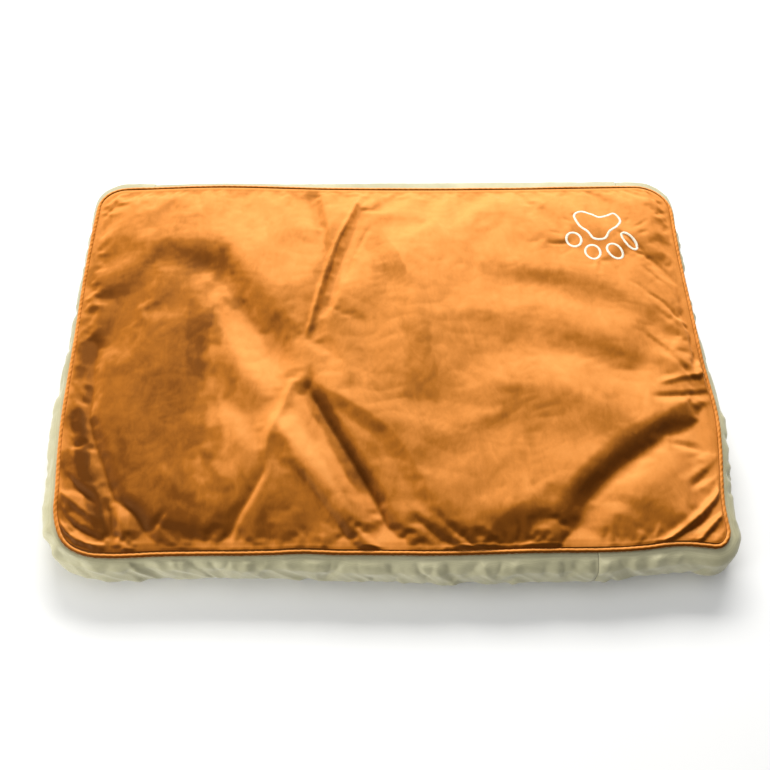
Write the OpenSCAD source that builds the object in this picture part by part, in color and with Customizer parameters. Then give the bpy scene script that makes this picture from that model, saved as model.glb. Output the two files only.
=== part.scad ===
// Pet cushion bed: a zipped, piped box-edge cover round a loose fibre-filled inner pad.
// Millimetres. X runs along the long side, -Y is the front, +Y the zipped back edge, and Z = 0 is
// the floor. The origin is the middle of the base. In every cross-section s is the distance
// outwards from the piping line and z the height.

/* [Cushion] */
// Left to right distance between the piping lines
panel_w = 950; // [700:10:1200]
// Front to back distance between the piping lines
panel_d = 650; // [500:10:900]
// Plan radius of the piping line at the corners
corner_r = 55; // [40:1:90]
// Height of the top seam, at the middle of the piping
seam_h = 68; // [54:1:95]
// Height of the middle of the top above its edge
crown_h = 24; // [10:1:40]
// How far the gusset bulges out past the piping line
bulge = 25; // [18:1:35]
// Distance of the gusset's front join from the right end of the piping line
band_join_in = 190; // [100:5:300]

/* [Cloth] */
// Thickness of the short-pile top cloth
panel_t = 1.6; // [1:0.1:2.5]
// Thickness of the gusset and base cloth
gusset_t = 0.8; // [0.5:0.1:1.2]
// Thickness of the inner pad's non-woven case
case_t = 0.6; // [0.4:0.1:1]
// Width of cloth turned in beyond a seam
seam_allowance = 10; // [6:1:12]
// Space left between neighbouring cloths
layer_gap = 0.15; // [0.05:0.05:0.2]
// Space left between the pad and the cover's top
pad_gap = 1.1; // [0.9:0.1:3]

/* [Piping] */
// Outside diameter of the piping
piping_d = 6; // [4:0.5:8]
// Thickness of the cloth round the piping cord
piping_cloth_t = 0.7; // [0.4:0.1:1]

/* [Zip] */
// Distance of the zipped panel's end seams from the start of the corners
zip_panel_in = 30; // [30:5:150]
// Distance of the chain's ends from the end seams
chain_in = 20; // [12:1:40]
// Width of the facings' folded hems
hem_w = 9; // [6:0.5:10]
// Space between the slider and each facing's folded edge
facing_fit = 0.5; // [0.4:0.1:2]
// Width of each tape
tape_w = 16; // [12:1:18]
// Thickness of each tape
tape_t = 0.6; // [0.4:0.1:0.8]
// Width of each coil, across the chain
coil_w = 2.8; // [2.4:0.1:3]
// Height of the coil off its tape
coil_h = 2.4; // [2:0.1:2.8]
// Width of the slot between the two coils
coil_slot = 1; // [0.8:0.1:1.4]
// Length of the slider
slider_len = 12; // [10:0.5:14]
// Thickness of each slider plate
plate_t = 1.5; // [1.2:0.1:2]
// Running space round the slider
slider_fit = 0.3; // [0.2:0.05:0.4]
// Length of the pull from its pin
pull_len = 24; // [16:1:32]
// Width of the pull
pull_w = 7; // [6:0.5:9]
// Diameter of the pull's pin
pin_d = 1.6; // [1.4:0.1:1.8]

/* [Paw embroidery] */
// Distance of the palm's middle from the right piping line
paw_in_right = 130; // [100:5:300]
// Distance of the palm's middle from the back piping line
paw_in_back = 95; // [80:5:240]
// Width of the satin-stitched line
stitch_w = 3.2; // [2:0.1:5]
// Height of the stitches above the cloth
stitch_h = 0.8; // [0.4:0.1:1.5]

/* [Care label] */
// Length of the blank label
label_l = 26; // [15:1:28]
// Width of the blank label
label_w = 22; // [12:1:24]

/* [Hidden] */
$fn = 64;

pile = "#c0701f";
cream = "#d9d2a8";
white = "#ece9e2";
metal = "#b9b4a6";

piping_r = piping_d / 2;
piping_flange_t = 2 * piping_cloth_t;      // the piping cloth's two plies, beyond the cord
flange_reach = piping_r + seam_allowance;  // how far in from the piping line the turned-in cloth reaches
edge_inset = piping_r + layer_gap;         // where the top panel meets the piping
flat_inset = flange_reach + 1;             // where the top starts to rise
base_t = gusset_t;
panel_z = seam_h + piping_flange_t / 2 + layer_gap;         // underside of the top panel at its edge
turned_z = seam_h - (piping_flange_t + gusset_t) / 2 - layer_gap; // middle of the gusset's turned-in top edge
wrap_r = piping_r + layer_gap + gusset_t / 2;              // the gusset's bend under the piping
shoulder_z = seam_h - wrap_r;                              // where the gusset leaves the piping
foot_z = base_t + layer_gap + gusset_t / 2;                // middle of the gusset's turned-in lower edge
band_join_x = panel_w / 2 - band_join_in;

zip_z = seam_h / 2;                                // height of the middle of the chain
zip_panel_w = panel_w - 2 * (corner_r + zip_panel_in);
chain_len = zip_panel_w - 2 * chain_in;
coil_edge = coil_slot / 2 + coil_w;                // from the chain's middle to the coils' outer edges
tape_out = bulge - 1.5 * gusset_t - layer_gap;     // outer face of the tapes
tape_edge = coil_slot / 2 + 0.25;                  // from the chain's middle to the tapes' inner edges
coil_out = tape_out + coil_h;
stop_t = 6;                                        // length of the bottom stop along the chain
flange_t = 1.1;                                    // thickness of the slider's side flanges
flange_in = coil_edge + slider_fit * 2;            // inner face of the side flanges
plate_half_w = flange_in + flange_t;
outer_plate_s = coil_out + slider_fit;             // inner faces of the slider's two plates
inner_plate_s = tape_out - tape_t - slider_fit - plate_t;
bridge_space = pin_d + 0.7;                        // room for the pin under the slider's bridge
bridge_t = 1;
bridge_half_w = 1.2;
pin_s = outer_plate_s + plate_t + bridge_space / 2;
pull_t = pin_d - 0.1;
slider_x = chain_len / 2 - slider_len / 2 - 1;     // the slider's place when the zip is shut
facing_half = plate_half_w + facing_fit;           // from the chain's middle to the folded edges
flat_half = facing_half + hem_w + 0.5;             // half height of the gusset's upright stretch

paw_x = panel_w / 2 - paw_in_right;
paw_y = panel_d / 2 - paw_in_back;

arc_steps = 5;    // facets on each plan corner
long_steps = 8;   // facets along each long side
short_steps = 6;  // facets along each short side
crown_power = 3;  // how late the crown flattens out
crown_rings = [1, 0.87, 0.74, 0.6, 0.44, 0.24];

// ---------- cross-sections ----------

function unit(v) = v / norm(v);
function left_of(v) = [-v[1], v[0]];
// The offset direction at point i of a path, lengthened at a bend so that the thickness holds.
function miter(path, i) =
    let (
        a = left_of(unit(i == 0 ? path[1] - path[0] : path[i] - path[i - 1])),
        b = left_of(unit(i == len(path) - 1 ? path[i] - path[i - 1] : path[i + 1] - path[i]))
    )
    (a + b) / (1 + a * b);
// The outline of a cloth of thickness t whose middle follows the path.
function ribbon(path, t) = concat(
    [for (i = [0 : len(path) - 1]) path[i] + t / 2 * miter(path, i)],
    [for (i = [len(path) - 1 : -1 : 0]) path[i] - t / 2 * miter(path, i)]
);

// The gusset from its turned-in top edge, under the piping and out to the bulge.
wrap_start = 180 + asin((seam_h - turned_z) / wrap_r);
function upper_path(end_z) = concat(
    [[-flange_reach, turned_z]],
    [for (i = [0 : 3]) let (a = wrap_start + (270 - wrap_start) * i / 4)
        [wrap_r * cos(a), seam_h + wrap_r * sin(a)]],
    [for (a = [0 : 15 : 90])
        [bulge * sin(a), zip_z + flat_half + (shoulder_z - zip_z - flat_half) * cos(a)]],
    [[bulge, end_z]]
);
// The gusset from the bulge down to its turned-in lower edge.
function lower_path(start_z) = concat(
    [[bulge, start_z]],
    [for (a = [90 : -15 : 0])
        [bulge * sin(a), zip_z - flat_half + (foot_z - zip_z + flat_half) * cos(a)]],
    [[-seam_allowance, foot_z]]
);

// A gusset cloth whose edge beside the zip, at corner k of its outline, is folded in as a hem.
function hemmed(path, k, edge_z, hem_z) =
    let (cloth = ribbon(path, gusset_t), ply = bulge - gusset_t / 2, inner_ply = ply - gusset_t)
    [for (i = [0 : len(cloth) - 1]) each (
        i != k ? [cloth[i]]
        : hem_z > edge_z ? [[inner_ply, edge_z], [inner_ply, hem_z], [ply, hem_z]]
        : [[ply, hem_z], [inner_ply, hem_z], [inner_ply, edge_z]]
    )];

module gusset_section() {
    upper = upper_path(zip_z + 1);
    lower = lower_path(zip_z - 1);
    polygon(ribbon(concat(upper, lower), gusset_t));
}

module upper_facing_section() {
    edge_z = zip_z + facing_half;
    path = upper_path(edge_z);
    polygon(hemmed(path, len(path), edge_z, edge_z + hem_w));
}

module lower_facing_section() {
    edge_z = zip_z - facing_half;
    path = lower_path(edge_z);
    polygon(hemmed(path, 2 * len(path) - 1, edge_z, edge_z - hem_w));
}

// ---------- sweeps round the cushion ----------

// Sides and corners count anticlockwise from above: 0 is the back, 1 left, 2 front and 3 right.
function half_out(side) = (side % 2 == 0 ? panel_d : panel_w) / 2;
function half_along(side) = (side % 2 == 0 ? panel_w : panel_d) / 2 - corner_r;

// Extrudes a cross-section along a side, between two distances from its middle.
module run(side, from, to) {
    rotate([0, 0, 90 * side]) translate([from, half_out(side), 0]) rotate([90, 0, 90])
        linear_extrude(to - from) children();
}

// Turns a cross-section round the corner between a side and the one before it.
module corner(side) {
    rotate([0, 0, 90 * side]) translate([half_along(side), half_out(side) - corner_r, 0])
        rotate_extrude(angle = 90) translate([corner_r, 0]) children();
}

module full_run(side) {
    run(side, -half_along(side), half_along(side)) children();
}

module all_round() {
    for (side = [0 : 3]) {
        full_run(side) children();
        corner(side) children();
    }
}

// ---------- crowned cloths ----------

function lerp(a, b, t) = a + (b - a) * t;
// The corners' arcs and the sides' steps of a rounded rectangle, inset from the piping line.
function outline(inset) =
    let (
        w = panel_w / 2 - inset, d = panel_d / 2 - inset, r = corner_r - inset,
        centres = [[w - r, d - r], [r - w, d - r], [r - w, r - d], [w - r, r - d]],
        arc = function (k, i) centres[k] + r * [cos(90 * (k + i / arc_steps)), sin(90 * (k + i / arc_steps))]
    )
    [for (k = [0 : 3]) each concat(
        [for (i = [0 : arc_steps]) arc(k, i)],
        let (steps = k % 2 == 0 ? long_steps : short_steps, from = arc(k, arc_steps), to = arc((k + 1) % 4, 0))
            [for (i = [1 : steps - 1]) lerp(from, to, i / steps)]
    )];
function at_height(points, z) = [for (p = points) [p[0], p[1], z]];
function crown(q) = crown_h * (1 - pow(q, crown_power));

crown_edge = outline(flat_inset);
// Rings of points that rise over the crown, from its edge inwards, at height z at the edge.
function crown_over(z) = [for (q = crown_rings) at_height(crown_edge * q, z + crown(q))];

// A closed solid between two stacks of rings, each listed from the edge to the middle.
module crowned(top, top_mid, under, under_mid) {
    n = len(top[0]);
    rings = concat(top, under);
    under_0 = len(top) * n;
    mid = len(rings) * n;
    function sides(a, b) = [for (j = [0 : n - 1]) [a + j, a + (j + 1) % n, b + (j + 1) % n, b + j]];
    function fan(a, hub) = [for (j = [0 : n - 1]) [a + j, a + (j + 1) % n, hub]];
    function turned(faces) = [for (f = faces) [for (i = [len(f) - 1 : -1 : 0]) f[i]]];
    upper = concat([for (i = [0 : len(top) - 2]) each sides(i * n, (i + 1) * n)], fan(under_0 - n, mid));
    lower = concat(
        [for (i = [0 : len(under) - 2]) each sides(under_0 + i * n, under_0 + (i + 1) * n)],
        fan(mid - n, mid + 1)
    );
    rim = sides(under_0, 0);
    polyhedron(
        points = concat([for (ring = rings) each ring], [[0, 0, top_mid], [0, 0, under_mid]]),
        faces = turned(concat(upper, turned(lower), rim)),
        convexity = 4
    );
}

// How far out a point is, as a share of the way to the edge of the crown.
function share_out(p) = max([for (i = [0 : len(crown_edge) - 1])
    let (a = crown_edge[i], b = crown_edge[(i + 1) % len(crown_edge)], out = [b[1] - a[1], a[0] - b[0]])
        out * p / (out * a)]);
function ring_below(q, i = 0) =
    i == len(crown_rings) - 1 || q >= crown_rings[i + 1] ? i : ring_below(q, i + 1);
// Height of the crown's facets over a point, above their edge.
function crown_at(p) =
    let (
        q = share_out(p), i = ring_below(q),
        q0 = crown_rings[i], q1 = i == len(crown_rings) - 1 ? 0 : crown_rings[i + 1]
    )
    lerp(crown(q0), crown(q1), (q0 - q) / (q0 - q1));

// ---------- the cover ----------

module top_panel() {
    color(pile) crowned(
        concat([at_height(outline(edge_inset), panel_z + panel_t)], crown_over(panel_z + panel_t)),
        panel_z + panel_t + crown_h,
        concat([at_height(outline(edge_inset), panel_z)], crown_over(panel_z)),
        panel_z + crown_h
    );
}

module piping_cover() {
    color(pile) all_round() translate([0, seam_h]) difference() {
        union() {
            circle(piping_r);
            translate([-flange_reach, -piping_flange_t / 2]) square([flange_reach, piping_flange_t]);
        }
        circle(piping_r - piping_cloth_t);
    }
}

module piping_cord() {
    color(white) all_round() translate([0, seam_h]) circle(piping_r - piping_cloth_t - layer_gap);
}

// The gusset band from the zipped panel's left end, round the left side, to the front join.
module gusset_left_front() {
    color(cream) {
        run(0, -half_along(0), -zip_panel_w / 2) gusset_section();
        corner(1) gusset_section();
        full_run(1) gusset_section();
        corner(2) gusset_section();
        run(2, layer_gap - band_join_x, half_along(2)) gusset_section();
    }
}

// The gusset band from the front join, round the right side, to the zipped panel's right end.
module gusset_right() {
    color(cream) {
        run(2, -half_along(2), -band_join_x) gusset_section();
        corner(3) gusset_section();
        full_run(3) gusset_section();
        corner(0) gusset_section();
        run(0, zip_panel_w / 2, half_along(0)) gusset_section();
    }
}

module base_panel() {
    color(cream) linear_extrude(base_t) {
        square([panel_w - 2 * corner_r, panel_d], center = true);
        square([panel_w, panel_d - 2 * corner_r], center = true);
        for (x = [-1, 1], y = [-1, 1])
            translate([x * (panel_w / 2 - corner_r), y * (panel_d / 2 - corner_r)]) circle(corner_r);
    }
}

// ---------- the zip ----------

zip_half = zip_panel_w / 2 - layer_gap;

module zip_facing_upper() {
    color(cream) run(0, -zip_half, zip_half) upper_facing_section();
}

module zip_facing_lower() {
    color(cream) run(0, -zip_half, zip_half) lower_facing_section();
}

// A bar along the back edge: x from the middle, s outwards from the piping line, z about the chain.
module zip_bar(x, s, z) {
    translate([x[0], panel_d / 2 + s[0], zip_z + z[0]]) cube([x[1] - x[0], s[1] - s[0], z[1] - z[0]]);
}

module zip_tape(up) {
    mirrored_below(up) color(cream)
        zip_bar([-zip_half, zip_half], [tape_out - tape_t, tape_out], [tape_edge, tape_w]);
}

module zip_coil(up) {
    mirrored_below(up) color(cream) zip_bar(
        [-chain_len / 2, chain_len / 2],
        [tape_out, coil_out],
        [coil_slot / 2, coil_edge]
    );
}

// Mirrors a piece to the lower half of the zip unless it is the upper one.
module mirrored_below(up) {
    translate([0, 0, zip_z]) mirror([0, 0, up ? 0 : 1]) translate([0, 0, -zip_z]) children();
}

// The slot that a stop's crimped jaws leave for the tape.
module tape_slot(x) {
    zip_bar(x, [tape_out - tape_t - layer_gap, tape_out + layer_gap], [tape_edge - layer_gap, tape_w]);
}

stop_in = tape_out - tape_t - 0.6;
stop_edge = coil_edge + 0.2;
stop_slit = 0.2;  // half the space between the two top stops

module zip_top_stop(up) {
    x = [chain_len / 2 + layer_gap, chain_len / 2 + layer_gap + stop_t / 2];
    mirrored_below(up) color(metal) difference() {
        zip_bar(x, [stop_in, coil_out], [stop_slit, stop_edge]);
        tape_slot([x[0] - 1, x[1] + 1]);
    }
}

module zip_bottom_stop() {
    x = [-chain_len / 2 - layer_gap - stop_t, -chain_len / 2 - layer_gap];
    color(metal) difference() {
        zip_bar(x, [stop_in, coil_out], [-stop_edge, stop_edge]);
        tape_slot([x[0] - 1, x[1] + 1]);
        mirrored_below(false) tape_slot([x[0] - 1, x[1] + 1]);
    }
}

// A round-ended slider plate, standing off the back edge by s.
module slider_plate(s) {
    translate([slider_x, panel_d / 2 + s, zip_z]) rotate([-90, 0, 0]) linear_extrude(plate_t)
        intersection() {
            square([slider_len, 2 * plate_half_w], center = true);
            circle(slider_len / 2 + 1);
        }
}

module slider_bridge() {
    half = slider_len / 2 - 1.5;
    slot = half - 1.8;
    translate([slider_x, panel_d / 2 + outer_plate_s + plate_t, zip_z + bridge_half_w])
        rotate([180, 0, 0]) mirror([0, 1, 0]) linear_extrude(2 * bridge_half_w) difference() {
            polygon([
                [-half, -0.2], [half, -0.2], [half - 0.6, bridge_space],
                [slot, bridge_space + bridge_t], [-slot, bridge_space + bridge_t], [0.6 - half, bridge_space]
            ]);
            translate([-slot, 0]) square([2 * slot, bridge_space]);
        }
}

module zip_slider() {
    wedge = [slider_x + slider_len / 2 - 3.5, slider_x + slider_len / 2 - 0.8];
    web = coil_slot / 2 - slider_fit * 0.75;
    color(metal) {
        slider_plate(inner_plate_s);
        slider_plate(outer_plate_s);
        zip_bar(wedge, [inner_plate_s + plate_t / 2, outer_plate_s + plate_t / 2], [-web, web]);
        for (up = [true, false]) mirrored_below(up) zip_bar(
            [slider_x - slider_len / 2 + 2, slider_x + slider_len / 2 - 2],
            [tape_out + slider_fit, outer_plate_s + plate_t / 2],
            [flange_in, plate_half_w]
        );
        slider_bridge();
    }
}

module zip_pull() {
    eye = slider_len / 2 + 1.5;         // from the pin to the end of the eye, clear of the bridge
    arm_in = bridge_half_w + 0.8;
    color(metal) translate([slider_x, panel_d / 2 + pin_s, zip_z]) {
        translate([0, 0, -pull_w / 2]) cylinder(d = pin_d, h = pull_w);
        translate([0, -pull_t / 2, 0]) rotate([-90, 0, 0]) linear_extrude(pull_t) difference() {
            union() {
                translate([pull_w / 2 - pull_len, -pull_w / 2]) square([pull_len - pull_w / 2, pull_w]);
                translate([pull_w / 2 - pull_len, 0]) circle(pull_w / 2);
            }
            translate([-eye, -arm_in]) square([eye + 1, 2 * arm_in]);
        }
    }
}

// ---------- paw embroidery ----------

palm_points = [
    [-37, 20], [-26, 29], [-11, 25], [3, 17], [17, 22], [30, 28], [38, 12],
    [30, -3], [17, -14], [7, -29], [-10, -29], [-19, -15], [-31, -2]
];
// Each toe's middle, its half length, its half width and the way that it points.
toes = [
    [[-43, -31], 14, 12, 90],
    [[-15, -56], 14, 12, 90],
    [[21, -54], 15, 11, 125],
    [[47, -32], 18, 8, 122]
];
curve_steps = 3;

// A smooth closed curve through the points.
function closed_curve(pts) =
    let (n = len(pts))
    [for (i = [0 : n - 1], k = [0 : curve_steps - 1])
        let (
            t = k / curve_steps,
            p0 = pts[(i + n - 1) % n], p1 = pts[i], p2 = pts[(i + 1) % n], p3 = pts[(i + 2) % n]
        )
        (2 * p1 + t * (p2 - p0) + t * t * (2 * p0 - 5 * p1 + 4 * p2 - p3)
            + t * t * t * (3 * p1 - p0 - 3 * p2 + p3)) / 2];
function toe_curve(toe) = [for (a = [0 : 18 : 342])
    let (p = [toe[1] * cos(a), toe[2] * sin(a)], c = cos(toe[3]), s = sin(toe[3]))
        toe[0] + [p[0] * c - p[1] * s, p[0] * s + p[1] * c]];
function on_panel(p, above) = [p[0] + paw_x, p[1] + paw_y,
    panel_z + panel_t + crown_at([p[0] + paw_x, p[1] + paw_y]) + above];

// A raised satin line along a closed curve: flat below, rounded above.
module satin_line(curve) {
    n = len(curve);
    sunk = 0.3;
    section = [[-0.5, -sunk], [-0.5, stitch_h * 0.5], [0, stitch_h], [0.5, stitch_h * 0.5], [0.5, -sunk]];
    m = len(section);
    points = [for (i = [0 : n - 1])
        let (out = left_of(unit(curve[(i + 1) % n] - curve[(i + n - 1) % n])))
            for (q = section) on_panel(curve[i] + out * q[0] * stitch_w, q[1])];
    polyhedron(points, [for (i = [0 : n - 1], j = [0 : m - 1])
        [i * m + j, i * m + (j + 1) % m, ((i + 1) % n) * m + (j + 1) % m, ((i + 1) % n) * m + j]],
        convexity = 6);
}

module paw_palm() {
    color("ivory") satin_line(closed_curve(palm_points));
}

module paw_toe(k) {
    color("ivory") satin_line(toe_curve(toes[k - 1]));
}

// The stabiliser behind the stitches, under the top cloth.
module embroidery_backing() {
    lo = [-62, -76];
    hi = [66, 40];
    steps = 5;
    n = steps + 1;
    backing_t = 0.4;
    function sheet(drop) = [for (i = [0 : steps], j = [0 : steps])
        on_panel([lerp(lo[0], hi[0], i / steps), lerp(lo[1], hi[1], j / steps)], -panel_t - drop)];
    function cells(first) = [for (i = [0 : steps - 1], j = [0 : steps - 1])
        let (a = first + i * n + j) each [[a, a + 1, a + n + 1], [a, a + n + 1, a + n]]];
    function flip(faces) = [for (f = faces) [f[2], f[1], f[0]]];
    edge = concat(
        [for (i = [0 : steps - 1]) i * n], [for (j = [0 : steps - 1]) steps * n + j],
        [for (i = [steps : -1 : 1]) i * n + steps], [for (j = [steps : -1 : 1]) j]
    );
    color(white) polyhedron(
        concat(sheet(layer_gap), sheet(layer_gap + backing_t)),
        concat(cells(0), flip(cells(n * n)), [for (k = [0 : len(edge) - 1])
            let (a = edge[k], b = edge[(k + 1) % len(edge)]) [b, b + n * n, a + n * n, a]]),
        convexity = 2
    );
}

// ---------- care label ----------

// A blank folded label caught in the seam at the zipped panel's left end.
module care_label() {
    label_t = 0.4;
    color(white) zip_bar(
        [-zip_panel_w / 2 - label_l, -zip_panel_w / 2],
        [bulge + gusset_t / 2, bulge + gusset_t / 2 + 2 * label_t],
        [-label_w / 2, label_w / 2]
    );
}

// ---------- the inner pad ----------

pad_s = inner_plate_s - 2.5;                      // how far out the pad's seam is, clear of the slider
pad_top_z = turned_z - gusset_t - layer_gap * 2;  // the pad under the turned-in seams
pad_foot_z = foot_z + gusset_t / 2 + layer_gap;   // underside of the pad

// Rings up the pad's side, from its seam to the edge of the crown, shrunk by t all round.
function pad_shoulder(t) = [
    for (a = [0 : 18 : 72]) at_height(
        outline(t - lerp(-flat_inset, pad_s, cos(a))),
        zip_z + (pad_top_z - 3 - t - zip_z) * sin(a)
    )
];
function pad_side(t) = [
    for (a = [0 : 22.5 : 90]) at_height(
        outline(t - lerp(-flat_inset, pad_s, cos(a))),
        zip_z - (zip_z - pad_foot_z - t) * sin(a)
    )
];
function pad_top_rings(t) = concat(
    pad_shoulder(t),
    [at_height(crown_edge, pad_top_z - t)],
    [for (q = crown_rings) if (q < 1) at_height(crown_edge * q, panel_z - pad_gap - t + crown(q))]
);

module pad_case_top() {
    color(white) crowned(
        pad_top_rings(0), panel_z - pad_gap + crown_h,
        pad_top_rings(case_t), panel_z - pad_gap + crown_h - case_t
    );
}

module pad_case_base() {
    color(white) translate([0, 0, -layer_gap / 3]) crowned(
        pad_side(case_t), pad_foot_z + case_t,
        pad_side(0), pad_foot_z
    );
}

module fibre_filling() {
    t = case_t + layer_gap;
    color("white") crowned(
        pad_top_rings(t), panel_z - pad_gap + crown_h - t,
        pad_side(t), pad_foot_z + t
    );
}

top_panel();
piping_cover();
piping_cord();
gusset_left_front();
gusset_right();
base_panel();
zip_facing_upper();
zip_facing_lower();
zip_tape(true);  // zip_tape_upper
zip_tape(false);  // zip_tape_lower
zip_coil(true);  // zip_coil_upper
zip_coil(false);  // zip_coil_lower
zip_top_stop(true);  // zip_top_stop_upper
zip_top_stop(false);  // zip_top_stop_lower
zip_bottom_stop();
zip_slider();
zip_pull();
embroidery_backing();
paw_palm();
paw_toe(1);  // paw_toe_1
paw_toe(2);  // paw_toe_2
paw_toe(3);  // paw_toe_3
paw_toe(4);  // paw_toe_4
care_label();
pad_case_top();
pad_case_base();
fibre_filling();
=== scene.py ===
"""Looks of the pet cushion bed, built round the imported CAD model. Metres, in the CAD frame."""
import math

import bmesh
import bpy
import numpy as np
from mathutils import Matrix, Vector
from mathutils.bvhtree import BVHTree
from mathutils.kdtree import KDTree


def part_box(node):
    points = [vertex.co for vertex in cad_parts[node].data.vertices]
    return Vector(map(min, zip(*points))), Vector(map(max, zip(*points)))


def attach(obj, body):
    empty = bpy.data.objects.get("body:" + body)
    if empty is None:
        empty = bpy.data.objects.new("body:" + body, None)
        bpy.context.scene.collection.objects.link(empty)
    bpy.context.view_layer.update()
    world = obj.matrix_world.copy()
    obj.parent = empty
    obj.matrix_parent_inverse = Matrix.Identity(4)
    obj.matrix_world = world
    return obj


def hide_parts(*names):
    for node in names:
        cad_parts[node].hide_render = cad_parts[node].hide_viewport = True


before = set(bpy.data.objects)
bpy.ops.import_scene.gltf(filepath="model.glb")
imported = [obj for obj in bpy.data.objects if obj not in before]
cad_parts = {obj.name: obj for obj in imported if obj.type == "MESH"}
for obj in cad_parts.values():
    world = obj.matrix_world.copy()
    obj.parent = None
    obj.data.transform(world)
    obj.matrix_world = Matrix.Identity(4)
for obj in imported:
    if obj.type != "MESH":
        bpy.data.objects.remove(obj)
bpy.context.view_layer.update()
MM = 0.001
rng = np.random.default_rng(36)

# ---------- sizes read from the frame ----------

piping_lo, piping_hi = (np.array(c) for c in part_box("piping_cover"))
gusset_lo, gusset_hi = (np.array(c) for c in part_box("gusset_left_front"))
tape_lo, tape_hi = (np.array(c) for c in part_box("zip_tape_upper"))
lower_tape_hi = np.array(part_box("zip_tape_lower")[1])
facing_lo = np.array(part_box("zip_facing_upper")[0])
top_lo, top_hi = (np.array(c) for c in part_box("top_panel"))
label_lo, label_hi = (np.array(c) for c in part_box("care_label"))
pad_hi = np.array(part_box("pad_case_top")[1])

PIPING_R = (piping_hi[2] - piping_lo[2]) / 2
SEAM_Z = (piping_hi[2] + piping_lo[2]) / 2
HALF_W = piping_hi[0] - PIPING_R
HALF_D = piping_hi[1] - PIPING_R
GUSSET_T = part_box("base_panel")[1][2]
BULGE = -gusset_lo[0] - HALF_W - GUSSET_T / 2
ZIP_Z = (tape_lo[2] + lower_tape_hi[2]) / 2
ZIP_HALF = tape_hi[0]
JOIN_X = gusset_hi[0]
PANEL_T = 1.6 * MM     # the plush with its pile
EDGE_Z = top_lo[2] + PANEL_T
CROWN = top_hi[2] - EDGE_Z
GAP = 0.15 * MM        # between cloths that lie on each other
FLANGE = PIPING_R + 10 * MM   # how far in the seam allowances reach
SEAM_GAP = 0.12 * MM   # what each end of a gusset cloth is cut back by
RAY_FROM = 0.3         # a height well above the cushion

# ---------- noise ----------

GRADIENTS = rng.uniform(0, 2 * math.pi, (64, 64))


def noise(x, y, scale, seed=0, period=0):
    """Smooth noise between about -1 and 1, in bumps of 1 / scale metres.

    It repeats in x after a whole number of bumps, the period, unless that is 0.
    """
    x = np.asarray(x) * scale + 17.3 * seed * (period == 0)
    y = np.asarray(y) * scale + 9.1 * seed
    xi, yi = np.floor(x).astype(int), np.floor(y).astype(int)
    fx, fy = x - xi, y - yi

    def corner(dx, dy):
        cx = (xi + dx) % period if period else xi + dx
        a = GRADIENTS[(cx + 5 * seed) % 64, (yi + dy) % 64]
        return np.cos(a) * (fx - dx) + np.sin(a) * (fy - dy)

    sx, sy = fx * fx * (3 - 2 * fx), fy * fy * (3 - 2 * fy)
    low = corner(0, 0) * (1 - sx) + corner(1, 0) * sx
    high = corner(0, 1) * (1 - sx) + corner(1, 1) * sx
    return 1.5 * (low * (1 - sy) + high * sy)


def smooth(t):
    t = np.clip(t, 0, 1)
    return t * t * (3 - 2 * t)


def catmull_rom(a, b, c, d, t):
    """The place at a share t of the way from b to c, on a smooth curve through four places."""
    return (2 * b + t * (c - a) + t ** 2 * (2 * a - 5 * b + 4 * c - d) + t ** 3 * (3 * b - a - 3 * c + d)) / 2


def run_along(points):
    """How far along a line each of its points is."""
    return np.concatenate([[0], np.cumsum(np.linalg.norm(np.diff(points, axis=0), axis=1))])


# ---------- meshes ----------

def placed(name, data):
    obj = bpy.data.objects.new(name, data)
    bpy.context.scene.collection.objects.link(obj)
    return obj


def mesh_object(name, points, faces, material=None):
    """A smooth-shaded object from an array of points and a list of equal-sided face arrays."""
    points = np.asarray(points, dtype=np.float32).reshape(-1, 3)
    faces = [np.asarray(f, dtype=np.int32) for f in faces if len(f)]
    mesh = bpy.data.meshes.new(name)
    mesh.vertices.add(len(points))
    mesh.vertices.foreach_set("co", points.ravel())
    sizes = np.concatenate([np.full(len(f), f.shape[1], dtype=np.int32) for f in faces])
    mesh.loops.add(int(sizes.sum()))
    mesh.loops.foreach_set("vertex_index", np.concatenate([f.ravel() for f in faces]))
    mesh.polygons.add(len(sizes))
    starts = np.concatenate([[0], np.cumsum(sizes)[:-1]]).astype(np.int32)
    mesh.polygons.foreach_set("loop_start", starts)
    mesh.update(calc_edges=True)
    mesh.validate()
    mesh.shade_smooth()
    if material:
        mesh.materials.append(material)
    return placed(name, mesh)


def grid_faces(nu, nv, start=0, wrap_u=False, wrap_v=False, flip=False):
    i = np.arange(nu if wrap_u else nu - 1)
    j = np.arange(nv if wrap_v else nv - 1)
    i, j = (a.ravel() for a in np.meshgrid(i, j, indexing="ij"))
    i1, j1 = (i + 1) % nu, (j + 1) % nv
    quad = np.stack([i * nv + j, i1 * nv + j, i1 * nv + j1, i * nv + j1], axis=1) + start
    return quad[:, ::-1] if flip else quad


def fan(m, start, hub, flip=False):
    """Triangles from a ring of m points to the point at its middle."""
    k = np.arange(m)
    k1 = (k + 1) % m
    if flip:
        k, k1 = k1, k
    return np.stack([start + k, start + k1, np.full(m, hub)], axis=1)


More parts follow.
